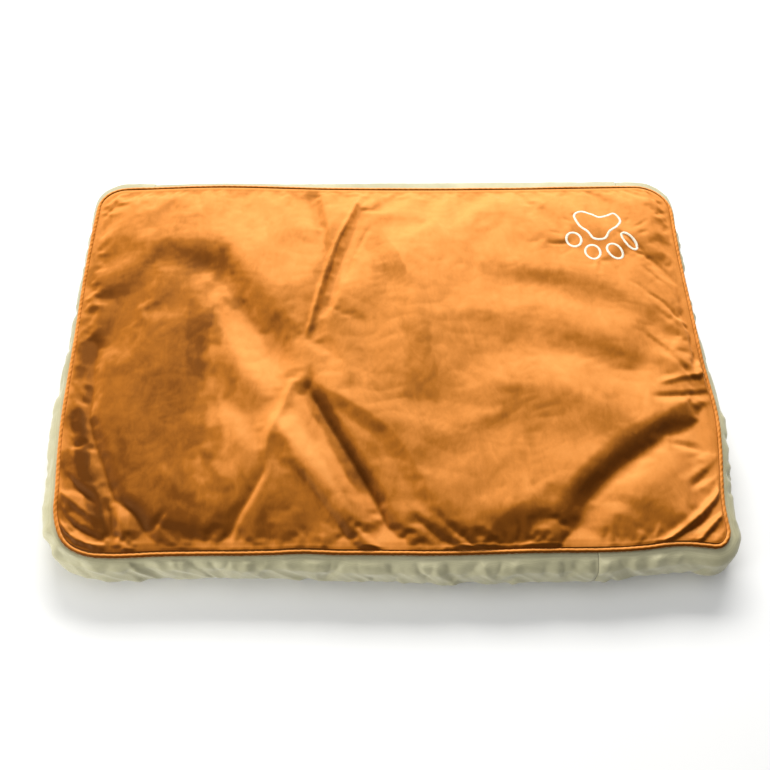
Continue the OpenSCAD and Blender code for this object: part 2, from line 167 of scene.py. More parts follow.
def shell(name, outer, inner, material=None, wrap_u=False):
    """A closed sheet between two grids of points, whose outer face is the first."""
    nu, nv = outer.shape[:2]
    n = nu * nv
    i = np.arange(nu if wrap_u else nu - 1)
    i1 = (i + 1) % nu
    rims = [np.stack([i1 * nv, i * nv, i * nv + n, i1 * nv + n], axis=1),
            np.stack([i * nv, i1 * nv, i1 * nv + n, i * nv + n], axis=1) + nv - 1]
    if not wrap_u:
        j = np.arange(nv - 1)
        rims.append(np.stack([j, j + 1, j + 1 + n, j + n], axis=1))
        last = (nu - 1) * nv
        rims.append(np.stack([j + 1, j, j + n, j + 1 + n], axis=1) + last)
    faces = [grid_faces(nu, nv, 0, wrap_u), grid_faces(nu, nv, n, wrap_u, flip=True), np.concatenate(rims)]
    obj = mesh_object(name, np.concatenate([outer.reshape(-1, 3), inner.reshape(-1, 3)]), faces, material)
    return facing_out(obj)


def facing_out(obj):
    bm = bmesh.new()
    bm.from_mesh(obj.data)
    bmesh.ops.recalc_face_normals(bm, faces=bm.faces)
    bm.to_mesh(obj.data)
    bm.free()
    return obj


def grid_normals(points, wrap_u=False):
    """Unit normals of a grid of points."""
    if wrap_u:
        du = np.roll(points, -1, axis=0) - np.roll(points, 1, axis=0)
    else:
        du = np.gradient(points, axis=0)
    n = np.cross(du, np.gradient(points, axis=1))
    return n / np.maximum(np.linalg.norm(n, axis=2, keepdims=True), 1e-12)


def tube(name, centres, sections, material=None, closed=False):
    """A tube through rings of points: sections[i] is the ring at place i."""
    n, m = sections.shape[:2]
    faces = [grid_faces(n, m, 0, wrap_u=closed, wrap_v=True)]
    points = sections.reshape(-1, 3)
    if not closed:
        points = np.concatenate([points, centres[[0, -1]]])
        faces.append(fan(m, 0, n * m, flip=True))
        faces.append(fan(m, (n - 1) * m, n * m + 1))
    return facing_out(mesh_object(name, points, faces, material))


# ---------- the seam line ----------

BACK, LEFT, FRONT, RIGHT = range(4)
CORNER_R = {"back_right": 58, "back_left": 40, "front_left": 78, "front_right": 32}
STEP = 2.0 * MM


def side_bow(side, along):
    """How far out a side of the seam wanders, at a distance along the side from its middle."""
    a = along / MM

    def bump(mid, width):
        return np.exp(-((a - mid) / width) ** 2)

    if side == BACK:
        out = 6.5 * bump(-280, 130) - 3.5 * bump(140, 240)
    elif side == LEFT:
        out = 5.5 * bump(150, 160) + 2.5 * bump(-90, 110) - 8.5 * bump(-262, 80)
    elif side == FRONT:
        out = 2.5 * bump(-370, 40) - 2 * bump(-120, 30) + 2.5 * bump(60, 110) - 8 * bump(400, 50)
    else:
        out = 6.5 * bump(-115, 70) - 3 * bump(190, 100) - 9 * bump(-275, 70)
    return out * MM


def rounded_outline():
    """Points about STEP apart, anticlockwise from the back right corner, and each corner's middle index."""
    w, d = HALF_W, HALF_D
    names = ["back_right", "back_left", "front_left", "front_right"]
    radius = [CORNER_R[n] * MM for n in names]
    places = [(w, d), (-w, d), (-w, -d), (w, -d)]
    points, corners = [], []
    for k in range(4):
        r, (x, y) = radius[k], places[k]
        centre = np.array([x - math.copysign(r, x), y - math.copysign(r, y)])
        n = max(8, int(r * math.pi / 2 / STEP))
        angle = math.pi / 2 * (k + np.linspace(0, 1, n, endpoint=False))
        corners.append(sum(len(p) for p in points) + n // 2)
        points.append(centre + r * np.stack([np.cos(angle), np.sin(angle)], axis=1))
        r2, (x2, y2) = radius[(k + 1) % 4], places[(k + 1) % 4]
        start = centre + r * np.array([math.cos(math.pi / 2 * (k + 1)), math.sin(math.pi / 2 * (k + 1))])
        end = np.array([x2 - math.copysign(r2, x2), y2 - math.copysign(r2, y2)])
        end = end + r2 * np.array([math.cos(math.pi / 2 * (k + 1)), math.sin(math.pi / 2 * (k + 1))])
        m = int(np.linalg.norm(end - start) / STEP)
        points.append(start + (end - start) * np.linspace(0, 1, m, endpoint=False)[:, None])
    points = np.concatenate(points)
    out = np.zeros_like(points)
    x, y = points.T
    near = 40 * MM
    for side, gap, along, way in ((BACK, HALF_D - y, x, (0, 1)), (LEFT, HALF_W + x, y, (-1, 0)),
                                  (FRONT, HALF_D + y, x, (0, -1)), (RIGHT, HALF_W - x, y, (1, 0))):
        out += (smooth(1 - gap / near) * side_bow(side, along))[:, None] * np.array(way)
    return points + out, corners


def normals_2d(points):
    tangent = np.roll(points, -1, axis=0) - np.roll(points, 1, axis=0)
    tangent /= np.linalg.norm(tangent, axis=1, keepdims=True)
    return np.stack([tangent[:, 1], -tangent[:, 0]], axis=1)


SEAM, SEAM_CORNERS = rounded_outline()
SEAM_N = len(SEAM)
SEAM_OUT = normals_2d(SEAM)
for _ in range(6):
    SEAM_OUT = (np.roll(SEAM_OUT, 1, axis=0) + 2 * SEAM_OUT + np.roll(SEAM_OUT, -1, axis=0)) / 4
SEAM_OUT /= np.linalg.norm(SEAM_OUT, axis=1, keepdims=True)
SEAM_AT = run_along(SEAM)
PERIMETER = SEAM_AT[-1] + np.linalg.norm(SEAM[0] - SEAM[-1])
WAVES = int(PERIMETER / 0.09)
SEAM_HEIGHT = SEAM_Z + (1.6 * noise(SEAM_AT, 0, WAVES / PERIMETER, 3, WAVES)
                        + 0.5 * noise(SEAM_AT, 0, 4 * WAVES / PERIMETER, 4, 4 * WAVES)) * MM
# 1 along the zipped panel, where the cloth is drawn straight, and 0 elsewhere.
REAR_STRETCH = smooth((SEAM[:, 1] - HALF_D + 40 * MM) / (30 * MM))
REAR_STRETCH = REAR_STRETCH * smooth((ZIP_HALF + 20 * MM - abs(SEAM[:, 0])) / (20 * MM))
SEAM_HEIGHT = SEAM_HEIGHT * (1 - 0.7 * REAR_STRETCH) + SEAM_Z * 0.7 * REAR_STRETCH

# ---------- folds of the top cloth; millimetres from the middle -------------------------
# Each: places along it, height (a valley's is negative), width to its left and right, and how sharp it is.
FOLDS = [
    # the big hollow on the left and the ridge round it
    ([(-420, 212), (-330, 206), (-245, 168), (-192, 108), (-150, 50), (-118, -2)], 4.5, 105, 56, 0.1),
    ([(-330, 185), (-272, 140), (-240, 92), (-205, 36), (-172, -24), (-143, -72)], -8.5, 60, 60, 0.25),
    ([(-275, 120), (-262, 50), (-235, -10), (-205, -60), (-170, -110)], 3.2, 22, 50, 0),
    # the knot and the folds that run from it to the front
    ([(-134, -28), (-97, -74), (-50, -106), (6, -152), (44, -215), (74, -275), (98, -325)], 5, 80, 26, 0.6),
    ([(-124, -58), (-98, -112), (-68, -165), (-40, -215), (-16, -262), (12, -325)], -10.5, 20, 36, 0.7),
    ([(-168, -110), (-150, -152), (-112, -202), (-68, -256), (-26, -325)], 6, 36, 36, 0.4),
    ([(-150, -192), (-120, -222), (-86, -268), (-44, -325)], -4.5, 13, 42, 0.8),
    ([(-172, -190), (-178, -215), (-194, -248), (-210, -278), (-226, -325)], -3, 10, 20, 0.9),
    ([(-140, -60), (-150, -104), (-168, -150), (-176, -200)], 2.2, 12, 14, 0.7),
    ([(-120, -40), (-112, -66), (-126, -96)], -2.2, 12, 12, 0.8),
    ([(-255, -95), (-225, -135), (-205, -190), (-200, -240)], 2, 26, 40, 0.2),
    ([(26, -268), (60, -300), (92, -322)], -2.4, 9, 16, 0.7),
    ([(54, -262), (84, -294), (116, -322)], -2, 9, 16, 0.7),
    # the pleat towards the back
    ([(-43, 302), (-60, 252), (-82, 192), (-97, 135), (-108, 85), (-116, 42), (-122, 8)], 3.4, 12, 6, 0.9),
    ([(-38, 275), (-51, 215), (-66, 165), (-78, 120), (-88, 75), (-98, 40)], -3.2, 14, 20, 0.5),
    ([(-24, 235), (-42, 190), (-55, 150), (-66, 105)], -1.8, 7, 12, 0.9),
    ([(-122, 322), (-112, 258), (-100, 200), (-101, 140)], -2.2, 14, 34, 0.2),
    # the soft rise in the middle
    ([(-4, 218), (24, 160), (44, 105), (50, 48), (56, 0), (68, -70), (80, -130)], 2.4, 70, 36, 0.1),
    # the long hollows on the right
    ([(90, 62), (180, 52), (270, 36), (350, 6), (420, -24), (472, -50)], 2.4, 64, 34, 0.2),
    ([(120, 8), (200, -6), (290, -26), (372, -56), (432, -70), (474, -80)], -3.8, 42, 80, 0.2),
    ([(160, 142), (290, 130), (352, 100), (420, 62), (472, 20)], 2.4, 54, 30, 0.2),
    ([(392, -72), (430, -60), (470, -50)], 2.6, 12, 9, 0.6),
    ([(380, -94), (430, -90), (470, -82)], -3, 10, 14, 0.6),
    # the deep fold across the right front corner
    ([(480, -74), (425, -102), (375, -140), (320, -182), (270, -228), (243, -270), (226, -325)],
     6.5, 36, 110, 0.35),
    ([(478, -134), (410, -152), (352, -188), (304, -226), (268, -268), (252, -325)], -9, 52, 40, 0.3),
    ([(482, -138), (452, -116)], -2.4, 8, 9, 0.6),
    ([(476, -178), (430, -170), (398, -164)], -2.4, 9, 12, 0.6),
    ([(474, -200), (442, -222), (416, -240)], -4, 10, 14, 0.5),
    ([(230, -246), (186, -258), (150, -282), (116, -325)], 4.5, 42, 50, 0.5),
    ([(290, -258), (330, -262), (345, -290)], -2, 16, 18, 0.3),
    ([(476, -222), (450, -256), (410, -291), (362, -325)], 4.5, 8, 10, 0.8),
    ([(476, -244), (447, -275), (416, -300), (384, -325)], -5, 9, 8, 0.7),
    ([(474, -266), (446, -290), (420, -318)], 3.6, 7, 8, 0.8),
    ([(470, -286), (446, -303), (430, -320)], -3.6, 7, 7, 0.6),
    # the deep folds of the left front corner
    ([(-452, 40), (-440, -55), (-437, -110), (-421, -160), (-402, -205), (-384, -243), (-354, -268),
      (-336, -298), (-326, -325)], -7.5, 22, 24, 0.85),
    ([(-398, -240), (-386, -276), (-380, -325)], -5, 12, 13, 0.7),
    ([(-388, -228), (-372, -262), (-360, -325)], 3, 12, 10, 0.5),
    ([(-474, -200), (-440, -228), (-400, -258)], -6, 14, 12, 0.6),
    ([(-474, -222), (-440, -250), (-398, -282)], 2.6, 9, 9, 0.5),
    ([(-470, -252), (-436, -284), (-396, -306)], -5, 10, 10, 0.8),
    ([(-466, -268), (-438, -298), (-404, -314)], 2.4, 7, 8, 0.6),
    ([(-462, -284), (-440, -306), (-418, -320)], -3, 7, 7, 0.7),
    ([(-474, -60), (-452, -84), (-440, -96)], -2.6, 8, 9, 0.7),
    ([(-472, -146), (-448, -160), (-432, -150)], -2.4, 8, 9, 0.7),
    # hollows beside the piping
    ([(-462, 70), (-461, -40), (-460, -140), (-456, -230)], -2, 18, 14, 0.1),
    ([(470, -20), (468, 80), (470, 190)], -4, 16, 14, 0.1),
    # short creases and lines
    ([(-305, -258), (-318, -280), (-330, -298)], -1.6, 8, 10, 0.6),
    ([(150, -70), (180, -88), (206, -78)], -1, 16, 18, 0.2),
    ([(-330, -195), (-305, -218), (-290, -250)], 1.2, 14, 22, 0.3),
    ([(-385, 95), (-378, 60), (-366, 40)], 1, 8, 10, 0.5),
    ([(-190, 265), (-196, 235), (-206, 215)], -0.8, 6, 8, 0.5),
]

# Brush marks in the nap, with painted shade and painted highlight laid along the folds: places, tone, width
# of the left and right sides, and how hard their edges are.
BRUSH_MARKS_AND_PAINTED_LIGHT = [
    ([(-392, 250), (-384, 150), (-378, 60), (-372, -60), (-366, -200), (-360, -330)], -0.23, 98, 84, 0.7),
    ([(-330, 178), (-262, 150), (-205, 82), (-165, 20), (-122, -26)], -0.05, 22, 30, 0.5),
    ([(-276, 110), (-280, 40), (-276, -20), (-262, -62)], -0.08, 10, 20, 0.9),
    ([(-235, 75), (-205, 10), (-180, -40), (-165, -95)], 0.12, 26, 26, 0.6),
    ([(-190, 300), (-200, 230), (-180, 160), (-140, 90)], 0.03, 70, 60, 0.2),
    ([(-118, 320), (-108, 262), (-98, 205)], -0.12, 8, 14, 0.6),
    ([(-60, 250), (-78, 195), (-90, 140), (-100, 95)], -0.16, 3, 18, 0.8),
    ([(-20, 230), (0, 185), (18, 140), (34, 100)], -0.12, 8, 26, 0.85),
    ([(-80, 110), (-95, 60), (-100, 10), (-90, -30)], -0.09, 50, 26, 0.3),
    ([(48, 60), (52, 0), (58, -60), (62, -120)], -0.09, 10, 24, 0.8),
    ([(-40, -30), (0, -90), (30, -160), (40, -230)], -0.08, 50, 40, 0.3),
    ([(-158, -110), (-128, -165), (-97, -224), (-55, -296)], 0.20, 16, 14, 0.5),
    ([(-118, -80), (-92, -130), (-68, -180), (-28, -250)], -0.26, 14, 10, 0.5),
    ([(-246, -96), (-225, -140), (-214, -185)], 0.08, 16, 12, 0.85),
    ([(-290, -170), (-272, -205), (-268, -240)], 0.07, 10, 10, 0.85),
    ([(-438, 240), (-458, 130), (-460, 40), (-438, -50)], -0.02, 22, 24, 0.3),
    ([(-438, 70), (-452, -40), (-446, -150), (-425, -235), (-404, -300)], -0.07, 16, 26, 0.3),
    ([(-374, -250), (-368, -280), (-366, -312)], 0.12, 7, 8, 0.5),
    ([(-456, -110), (-438, -185), (-417, -246), (-392, -304)], -0.24, 9, 8, 0.6),
    ([(-420, 275), (-306, 262), (-210, 255)], -0.07, 40, 60, 0.3),
    ([(-60, -284), (14, -281), (90, -290)], 0.09, 24, 20, 0.4),
    ([(400, -118), (350, -152), (290, -205), (252, -262)], -0.05, 20, 12, 0.6),
    ([(220, -285), (190, -272), (160, -300)], -0.08, 22, 18, 0.6),
    ([(-300, -290), (-100, -290), (100, -290), (330, -290)], -0.06, 70, 40, 0.1),
    ([(60, 40), (200, 24), (340, 12)], 0.06, 50, 60, 0.3),
    ([(120, -118), (245, -128), (380, -134)], -0.17, 40, 40, 0.3),
    ([(120, 290), (200, 240), (260, 190)], 0.06, 90, 90, 0.1),
    ([(-20, 300), (60, 270), (90, 200), (130, 140)], 0.05, 60, 60, 0.2),
]


def spline(places, per_span=8):
    """A smooth open curve through the places, as points in metres."""
    p = np.array(places, dtype=float) * MM
    ends = np.concatenate([[2 * p[0] - p[1]], p, [2 * p[-1] - p[-2]]])
    out = []
    for a, b, c, d in zip(ends[:-3], ends[1:-2], ends[2:-1], ends[3:]):
        t = np.linspace(0, 1, per_span, endpoint=False)[:, None]
        out.append(catmull_rom(a, b, c, d, t))
    return np.concatenate(out + [p[-1:]])


def along_line(x, y, places, left, right):
    """A mask of the places near a line, their distance as a share of its width, and their fade."""
    line = spline(places)
    reach = max(left, right) * MM
    near = ((x > line[:, 0].min() - reach) & (x < line[:, 0].max() + reach)
            & (y > line[:, 1].min() - reach) & (y < line[:, 1].max() + reach))
    px, py = x[near], y[near]
    best = np.full(px.shape, 1e9)
    side, run = np.zeros_like(best), np.zeros_like(best)
    steps = np.linalg.norm(np.diff(line, axis=0), axis=1)
    starts = np.concatenate([[0], np.cumsum(steps)])
    for k, (a, b) in enumerate(zip(line[:-1], line[1:])):
        ab = (b - a) / steps[k]
        t = np.clip((px - a[0]) * ab[0] + (py - a[1]) * ab[1], 0, steps[k])
        dx, dy = px - a[0] - t * ab[0], py - a[1] - t * ab[1]
        d = np.hypot(dx, dy)
        hit = d < best
        best = np.where(hit, d, best)
        side = np.where(hit, ab[0] * dy - ab[1] * dx, side)
        run = np.where(hit, starts[k] + t, run)
    width = np.where(side > 0, left, right) * MM
    length = starts[-1]
    taper = min(0.45 * length, 0.9 * reach + 14 * MM)
    at_seam = [abs(x) > HALF_W - 20 * MM or abs(y) > HALF_D - 20 * MM for x, y in (line[0], line[-1])]
    fade = np.ones_like(run)
    if not at_seam[0]:
        fade *= smooth(run / taper)
    if not at_seam[1]:
        fade *= smooth((length - run) / taper)
    return near, best / width, fade


def add_fold(x, y, z, places, height, left, right, sharp):
    """Raises z along a fold, which fades out at an end that isn't at the seam."""
    near, t, fade = along_line(x, y, places, left, right)
    t = np.clip(t, 0, 1)
    soft_kernel = (1 - t) ** 2 * (1 + 2 * t)
    sharp_kernel = (1.063 - np.sqrt(t * t + 0.004)) ** 2
    kernel = np.where(t < 1, (1 - sharp) * soft_kernel + sharp * sharp_kernel * (1 - t ** 6), 0)
    z[near] += height * MM * kernel * fade


def nap_tone_and_painted_light(x, y):
    """How the pile is brushed, with painted shade and painted highlight along the folds: lighter above 0 and
    darker below it, with ragged edges.
    """
    tone = np.zeros_like(x)
    ragged = 0.30 * noise(x, y, 30, 21) + 0.16 * noise(x, y, 75, 22)
    for places, strength, left, right, hard in BRUSH_MARKS_AND_PAINTED_LIGHT:
        near, t, fade = along_line(x, y, places, left * 1.5, right * 1.5)
        t = t + ragged[near] * (0.5 + 0.5 * hard)
        tone[near] += strength * fade * smooth((1 - t) / (1 - 0.75 * hard))
    streaky = noise(x + 0.4 * y, y - 0.4 * x, 16, 23) * noise(x, y, 5, 24)
    return tone + 0.05 * streaky


def wrinkle_lines():
    """Short fine wrinkles: round the paw, on the right, and at the back, as folds."""
    lines = []
    paw = np.array([348, 205])
    for k in range(15):
        a = 2 * math.pi * (k + rng.uniform(-0.4, 0.4)) / 15
        way = np.array([math.cos(a), math.sin(a) * 0.85])
        start = paw + way * rng.uniform(44, 60)
        end = start + way * rng.uniform(12, 46) + rng.uniform(-9, 9, 2)
        middle = (start + end) / 2 + rng.uniform(-3, 3, 2)
        lines.append(([start, middle, end], rng.uniform(-1.2, -0.4), 5, 7, 0.3))
    for k in range(8):
        x, y = 395 + rng.uniform(-28, 24), 215 - 30 * k + rng.uniform(-10, 10)
        reach = rng.uniform(30, 75)
        bend = rng.uniform(-8, 8)
        lines.append(([(x, y), (x + reach * 0.5, y - reach * 0.42 + bend), (x + reach, y - reach * 1.05)],
                      rng.uniform(-2.0, -0.7), rng.uniform(4, 8), rng.uniform(6, 12), 0.4))
    for k in range(7):
        x = -412 + 26 * k + rng.uniform(-7, 7)
        lines.append(([(x, 326), (x + 5, 300), (x + 12, 262)], rng.uniform(-1.2, -0.5), 7, 10, 0.3))
    return lines


def seam_puckers():
    """Short wrinkles that run in from the seam: close at the front and the corners, few elsewhere."""
    lines = []
    at = 0.0
    while at < PERIMETER:
        k = int(at / PERIMETER * SEAM_N)
        root, out = SEAM[k] / MM, SEAM_OUT[k]
        busy = 1.0 if out[1] < -0.3 else 0.45
        along = np.array([-out[1], out[0]])
        length = rng.uniform(14, 44)
        lean = rng.uniform(-0.6, 0.6)
        tip = root - out * length + along * length * lean
        mid = root - out * length * 0.5 + along * length * lean * 0.3
        height = rng.choice([-1, 1], p=[0.65, 0.35]) * rng.uniform(0.4, 1.5) * busy
        lines.append(([root, mid, tip], height, rng.uniform(4, 9), rng.uniform(5, 11), 0.4))
        at += rng.uniform(9, 26) * MM / busy
    return lines


def top_height(x, y, share):
    """Height of the top cloth's upper face at places whose share of the way out to the seam is given."""
    z = EDGE_Z + CROWN * (1 - share ** 3)
    inside = smooth((1 - share) / 0.1)
    for f in FOLDS + wrinkle_lines() + seam_puckers():
        add_fold(x, y, z, *f)
    z += inside * (2.6 * noise(x, y, 5.5, 1) + 1.3 * noise(x, y, 13, 2)) * MM
    warp = 0.05 * noise(x, y, 9, 5)
    crumple = abs(noise(x + warp, y * 1.5 - warp, 22, 6)) * 0.9 + abs(noise(x - warp, y + warp, 48, 7)) * 0.4
    z += smooth((1 - share) / 0.04) * crumple * 0.6 * MM
    return z


def coons(edge, corners, nu, nv):
    """A grid of places inside a closed line, from its four corners' indices."""
    n = len(edge)

    def stretch(a, b, count):
        length = (b - a) % n
        at = (a + np.linspace(0, length, count)) % n
        low = np.floor(at).astype(int) % n
        return edge[low] + (edge[(low + 1) % n] - edge[low]) * (at - np.floor(at))[:, None]

    br, bl, fl, fr = corners
    back = stretch(br, bl, nu)[::-1]
    left = stretch(bl, fl, nv)[::-1]
    front = stretch(fl, fr, nu)
    right = stretch(fr, br, nv)
    u = np.linspace(0, 1, nu)[:, None, None]
    v = np.linspace(0, 1, nv)[None, :, None]
    sides = (1 - v) * front[:, None] + v * back[:, None] + (1 - u) * left[None] + u * right[None]
    tips = ((1 - u) * (1 - v) * front[0] + u * (1 - v) * front[-1] + (1 - u) * v * back[0] + u * v * back[-1])
    return sides - tips


def share_out(nu, nv):
    """How far out each place of a grid is: 0 in the middle and 1 on the seam."""
    u = np.abs(np.linspace(-1, 1, nu))[:, None]
    v = np.abs(np.linspace(-1, 1, nv))[None, :]
    power = 14
    round_share = (u ** power + v ** power) ** (1 / power)
    edge = np.maximum(u, v)
    return np.minimum(1, round_share * (1 - edge ** 24) + edge * edge ** 24)


# ---------- materials ----------

class Nodes:
    """Short names for building one material's nodes."""

    def __init__(self, name, roughness=0.8, sheen=0.0, sheen_roughness=0.4, sheen_tint=(1, 1, 1),
                 specular=0.3, coat=0.0, anisotropic=0.0):
        self.material = bpy.data.materials.new(name)
        self.material.use_nodes = True
        self.tree = self.material.node_tree
        self.shader = self.tree.nodes["Principled BSDF"]
        values = {"Roughness": roughness, "Sheen Weight": sheen,
                  "Sheen Roughness": sheen_roughness, "Sheen Tint": (*sheen_tint, 1),
                  "Specular IOR Level": specular, "Coat Weight": coat, "Anisotropic": anisotropic}
        for key, value in values.items():
            self.shader.inputs[key].default_value = value
        self.place = self.add("ShaderNodeTexCoord").outputs["Object"]

    def add(self, kind, **values):
        node = self.tree.nodes.new(kind)
        for key, value in values.items():
            setattr(node, key, value)
        return node

    def link(self, source, target):
        self.tree.links.new(source, target)

    def put(self, socket, value):
        if isinstance(value, bpy.types.NodeSocket):
            self.link(value, socket)
        else:
            socket.default_value = value

    def stretched(self, scale=(1, 1, 1), turn=0.0):
        node = self.add("ShaderNodeMapping")
        node.inputs["Scale"].default_value = scale
        node.inputs["Rotation"].default_value = (0, 0, turn)
        self.link(self.place, node.inputs["Vector"])
        return node.outputs["Vector"]

    def noise(self, scale, detail=3.0, roughness=0.5, distortion=0.0, vector=None):
        node = self.add("ShaderNodeTexNoise")
        values = {"Scale": scale, "Detail": detail, "Roughness": roughness, "Distortion": distortion}
        for key, value in values.items():
            node.inputs[key].default_value = value
        self.link(vector or self.place, node.inputs["Vector"])
        return node.outputs["Fac"]

    def waves(self, scale, direction="X", distortion=0.0, vector=None):
        node = self.add("ShaderNodeTexWave", wave_type="BANDS", bands_direction=direction)
        node.inputs["Scale"].default_value = scale
        node.inputs["Distortion"].default_value = distortion
        self.link(vector or self.place, node.inputs["Vector"])
        return node.outputs["Fac"]

    def maths(self, operation, a, b=0.5):
        node = self.add("ShaderNodeMath", operation=operation)
        self.put(node.inputs[0], a)
        self.put(node.inputs[1], b)
        return node.outputs[0]

    def ramp(self, factor, *stops):
        node = self.add("ShaderNodeValToRGB")
        elements = node.color_ramp.elements
        while len(elements) < len(stops):
            elements.new(0.5)
        for element, (at, colour) in zip(elements, stops):
            element.position = at
            element.color = (*colour, 1) if len(colour) == 3 else colour
        self.link(factor, node.inputs["Fac"])
        return node.outputs["Color"]

    def mix(self, factor, a, b, blend="MIX"):
        node = self.add("ShaderNodeMix", data_type="RGBA", blend_type=blend)
        self.put(node.inputs[0], factor)
        for socket, value in zip((node.inputs[6], node.inputs[7]), (a, b)):
            self.put(socket, value if isinstance(value, bpy.types.NodeSocket) else (*value, 1))
        return node.outputs[2]

    def bump(self, height, distance, strength=1.0, normal=None):
        node = self.add("ShaderNodeBump")
        node.inputs["Distance"].default_value = distance
        node.inputs["Strength"].default_value = strength
        self.link(height, node.inputs["Height"])
        if normal:
            self.link(normal, node.inputs["Normal"])
        return node.outputs["Normal"]

    def finish(self, colour, normal=None, roughness=None):
        self.put(self.shader.inputs["Base Color"], colour)
        if normal:
            self.link(normal, self.shader.inputs["Normal"])
        if roughness:
            self.link(roughness, self.shader.inputs["Roughness"])
        return self.material

    def between(self, factor, low, high):
        node = self.add("ShaderNodeMapRange")
        self.link(factor, node.inputs["Value"])
        node.inputs["To Min"].default_value = low
        node.inputs["To Max"].default_value = high
        return node.outputs["Result"]


def plush_material(name="plush", painted_light=1.0):
    """Short pile: painted highlight on slopes that face the back and painted shade on those that face the
    front.
    """
    n = Nodes(name, roughness=0.5, sheen=0.5, sheen_roughness=0.35, sheen_tint=(1.0, 0.46, 0.08),
              specular=0.2)
    n.shader.inputs["Specular Tint"].default_value = (1.0, 0.54, 0.12, 1)
    patches = n.noise(5.5, 4, 0.55, 0.5)
    tone_layer = n.noise(24, 4, 0.6, 1.4, n.stretched((1, 0.6, 1), 0.5))
    streaks = n.noise(70, 3, 0.6, 0.4, n.stretched((1, 0.55, 1), -0.5))
    nap_and_painted_light = n.maths("ADD", n.maths("MULTIPLY", patches, 0.24), n.maths("MULTIPLY", tone_layer, 0.24))
    nap_and_painted_light = n.maths("ADD", n.maths("ADD", nap_and_painted_light, 0.17), n.maths("MULTIPLY", streaks, 0.18))
    # painted highlight on slopes that face the back and painted shade on slopes that face the front, from the
    # object-space normal
    parts = n.add("ShaderNodeSeparateXYZ")
    n.link(n.add("ShaderNodeTexCoord").outputs["Normal"], parts.inputs[0])
    lean = n.maths("ADD", n.maths("MULTIPLY", parts.outputs["Y"], 0.85),
                   n.maths("MULTIPLY", parts.outputs["X"], -0.12))
    # brush marks in the nap with painted shade and painted highlight along the folds, from the top cloth's
    # attribute
    nap_marks_and_painted_light = n.add("ShaderNodeAttribute", attribute_name="nap_and_painted_light").outputs["Fac"]
    nap_and_painted_light = n.maths("ADD", n.maths("ADD", nap_and_painted_light, lean), nap_marks_and_painted_light)
    colour = n.ramp(nap_and_painted_light, (0.00, (0.10 * painted_light, 0.026 * painted_light, 0.002 * painted_light)),
                    (0.18, (0.17 * painted_light, 0.048 * painted_light, 0.004 * painted_light)),
                    (0.36, (0.36 * painted_light, 0.114 * painted_light, 0.011 * painted_light)),
                    (0.55, (0.62 * painted_light, 0.218 * painted_light, 0.042 * painted_light)),
                    (0.80, (0.80 * painted_light, 0.320 * painted_light, 0.080 * painted_light)))
    fibres = n.noise(2600, 2, 0.6)
    tufts = n.noise(900, 2, 0.5, 0.3, n.stretched((1, 0.5, 1), 0.5))
    shade = n.ramp(fibres, (0.35, (0.5, 0.5, 0.5)), (0.65, (1.22, 1.2, 1.15)))
    colour = n.mix(0.30, colour, shade, "MULTIPLY")
    pile = n.maths("ADD", n.maths("MULTIPLY", fibres, 0.5), n.maths("MULTIPLY", tufts, 0.5))
    normal = n.bump(tone_layer, 1.0 * MM, 0.1)
    normal = n.bump(pile, 0.3 * MM, 0.4, normal)
    return n.finish(colour, normal, n.between(nap_and_painted_light, 0.62, 0.46))


def woven_material(name, low, high, threads=1400, roughness=0.5, sheen=0.25, specular=0.35, wear=0.5):
    """Plain weave with crossing threads, soft staining and rubbed patches."""
    n = Nodes(name, roughness=roughness, sheen=sheen, sheen_roughness=0.4, specular=specular)
    warp = n.waves(threads / 6.28, "X", 0.6)
    weft = n.waves(threads / 6.28, "Z", 0.6)
    across = n.waves(threads / 6.28, "Y", 0.6)
    weave = n.maths("MULTIPLY", n.maths("ADD", warp, across), weft)
    stains = n.noise(9, 5, 0.6, 0.4)
    rubbed = n.noise(60, 4, 0.6)
    tone = n.maths("ADD", n.maths("MULTIPLY", stains, 1 - wear * 0.3),
                   n.maths("MULTIPLY", rubbed, wear * 0.3))
    colour = n.ramp(tone, (0.32, low), (0.66, high))
    colour = n.mix(0.16, colour, n.ramp(weave, (0.1, (0.55, 0.55, 0.55)), (0.9, (1.2, 1.2, 1.2))), "MULTIPLY")
    normal = n.bump(rubbed, 0.5 * MM, 0.15)
    normal = n.bump(weave, 0.12 * MM, 0.5, normal)
    return n.finish(colour, normal, n.between(stains, roughness - 0.08, roughness + 0.12))


def thread_material():
    n = Nodes("embroidery_thread", roughness=0.38, sheen=0.35, sheen_tint=(1, 0.96, 0.88), specular=0.45)
    fibres = n.noise(3800, 2, 0.5)
    tone = n.noise(180, 3, 0.5)
    colour = n.ramp(tone, (0.35, (0.80, 0.74, 0.58)), (0.65, (0.92, 0.88, 0.76)))
    colour = n.mix(0.3, colour, n.ramp(fibres, (0.3, (0.6, 0.58, 0.52)), (0.7, (1, 1, 1))), "MULTIPLY")
    return n.finish(colour, n.bump(fibres, 0.08 * MM, 0.6), n.between(tone, 0.32, 0.48))


def enamel_material():
    """Beige enamel on die-cast zinc, rubbed and scuffed."""
    n = Nodes("zip_enamel", roughness=0.36, specular=0.5, coat=0.3)
    scuffs = n.noise(420, 5, 0.65, 0.5)
    scratches = n.noise(300, 3, 0.6, 0.2, n.stretched((6, 1, 0.4)))
    colour = n.ramp(scuffs, (0.30, (0.20, 0.175, 0.13)), (0.42, (0.36, 0.33, 0.25)),
                    (0.72, (0.43, 0.395, 0.30)))
    normal = n.bump(scratches, 0.05 * MM, 0.5)
    return n.finish(colour, normal, n.between(scuffs, 0.5, 0.28))


def coil_material():
    n = Nodes("zip_nylon", roughness=0.33, specular=0.5, sheen=0.1)
    tone = n.noise(240, 3, 0.5)
    colour = n.ramp(tone, (0.35, (0.60, 0.54, 0.39)), (0.65, (0.72, 0.67, 0.51)))
    return n.finish(colour, n.bump(n.noise(2500, 2), 0.03 * MM, 0.4), n.between(tone, 0.28, 0.42))


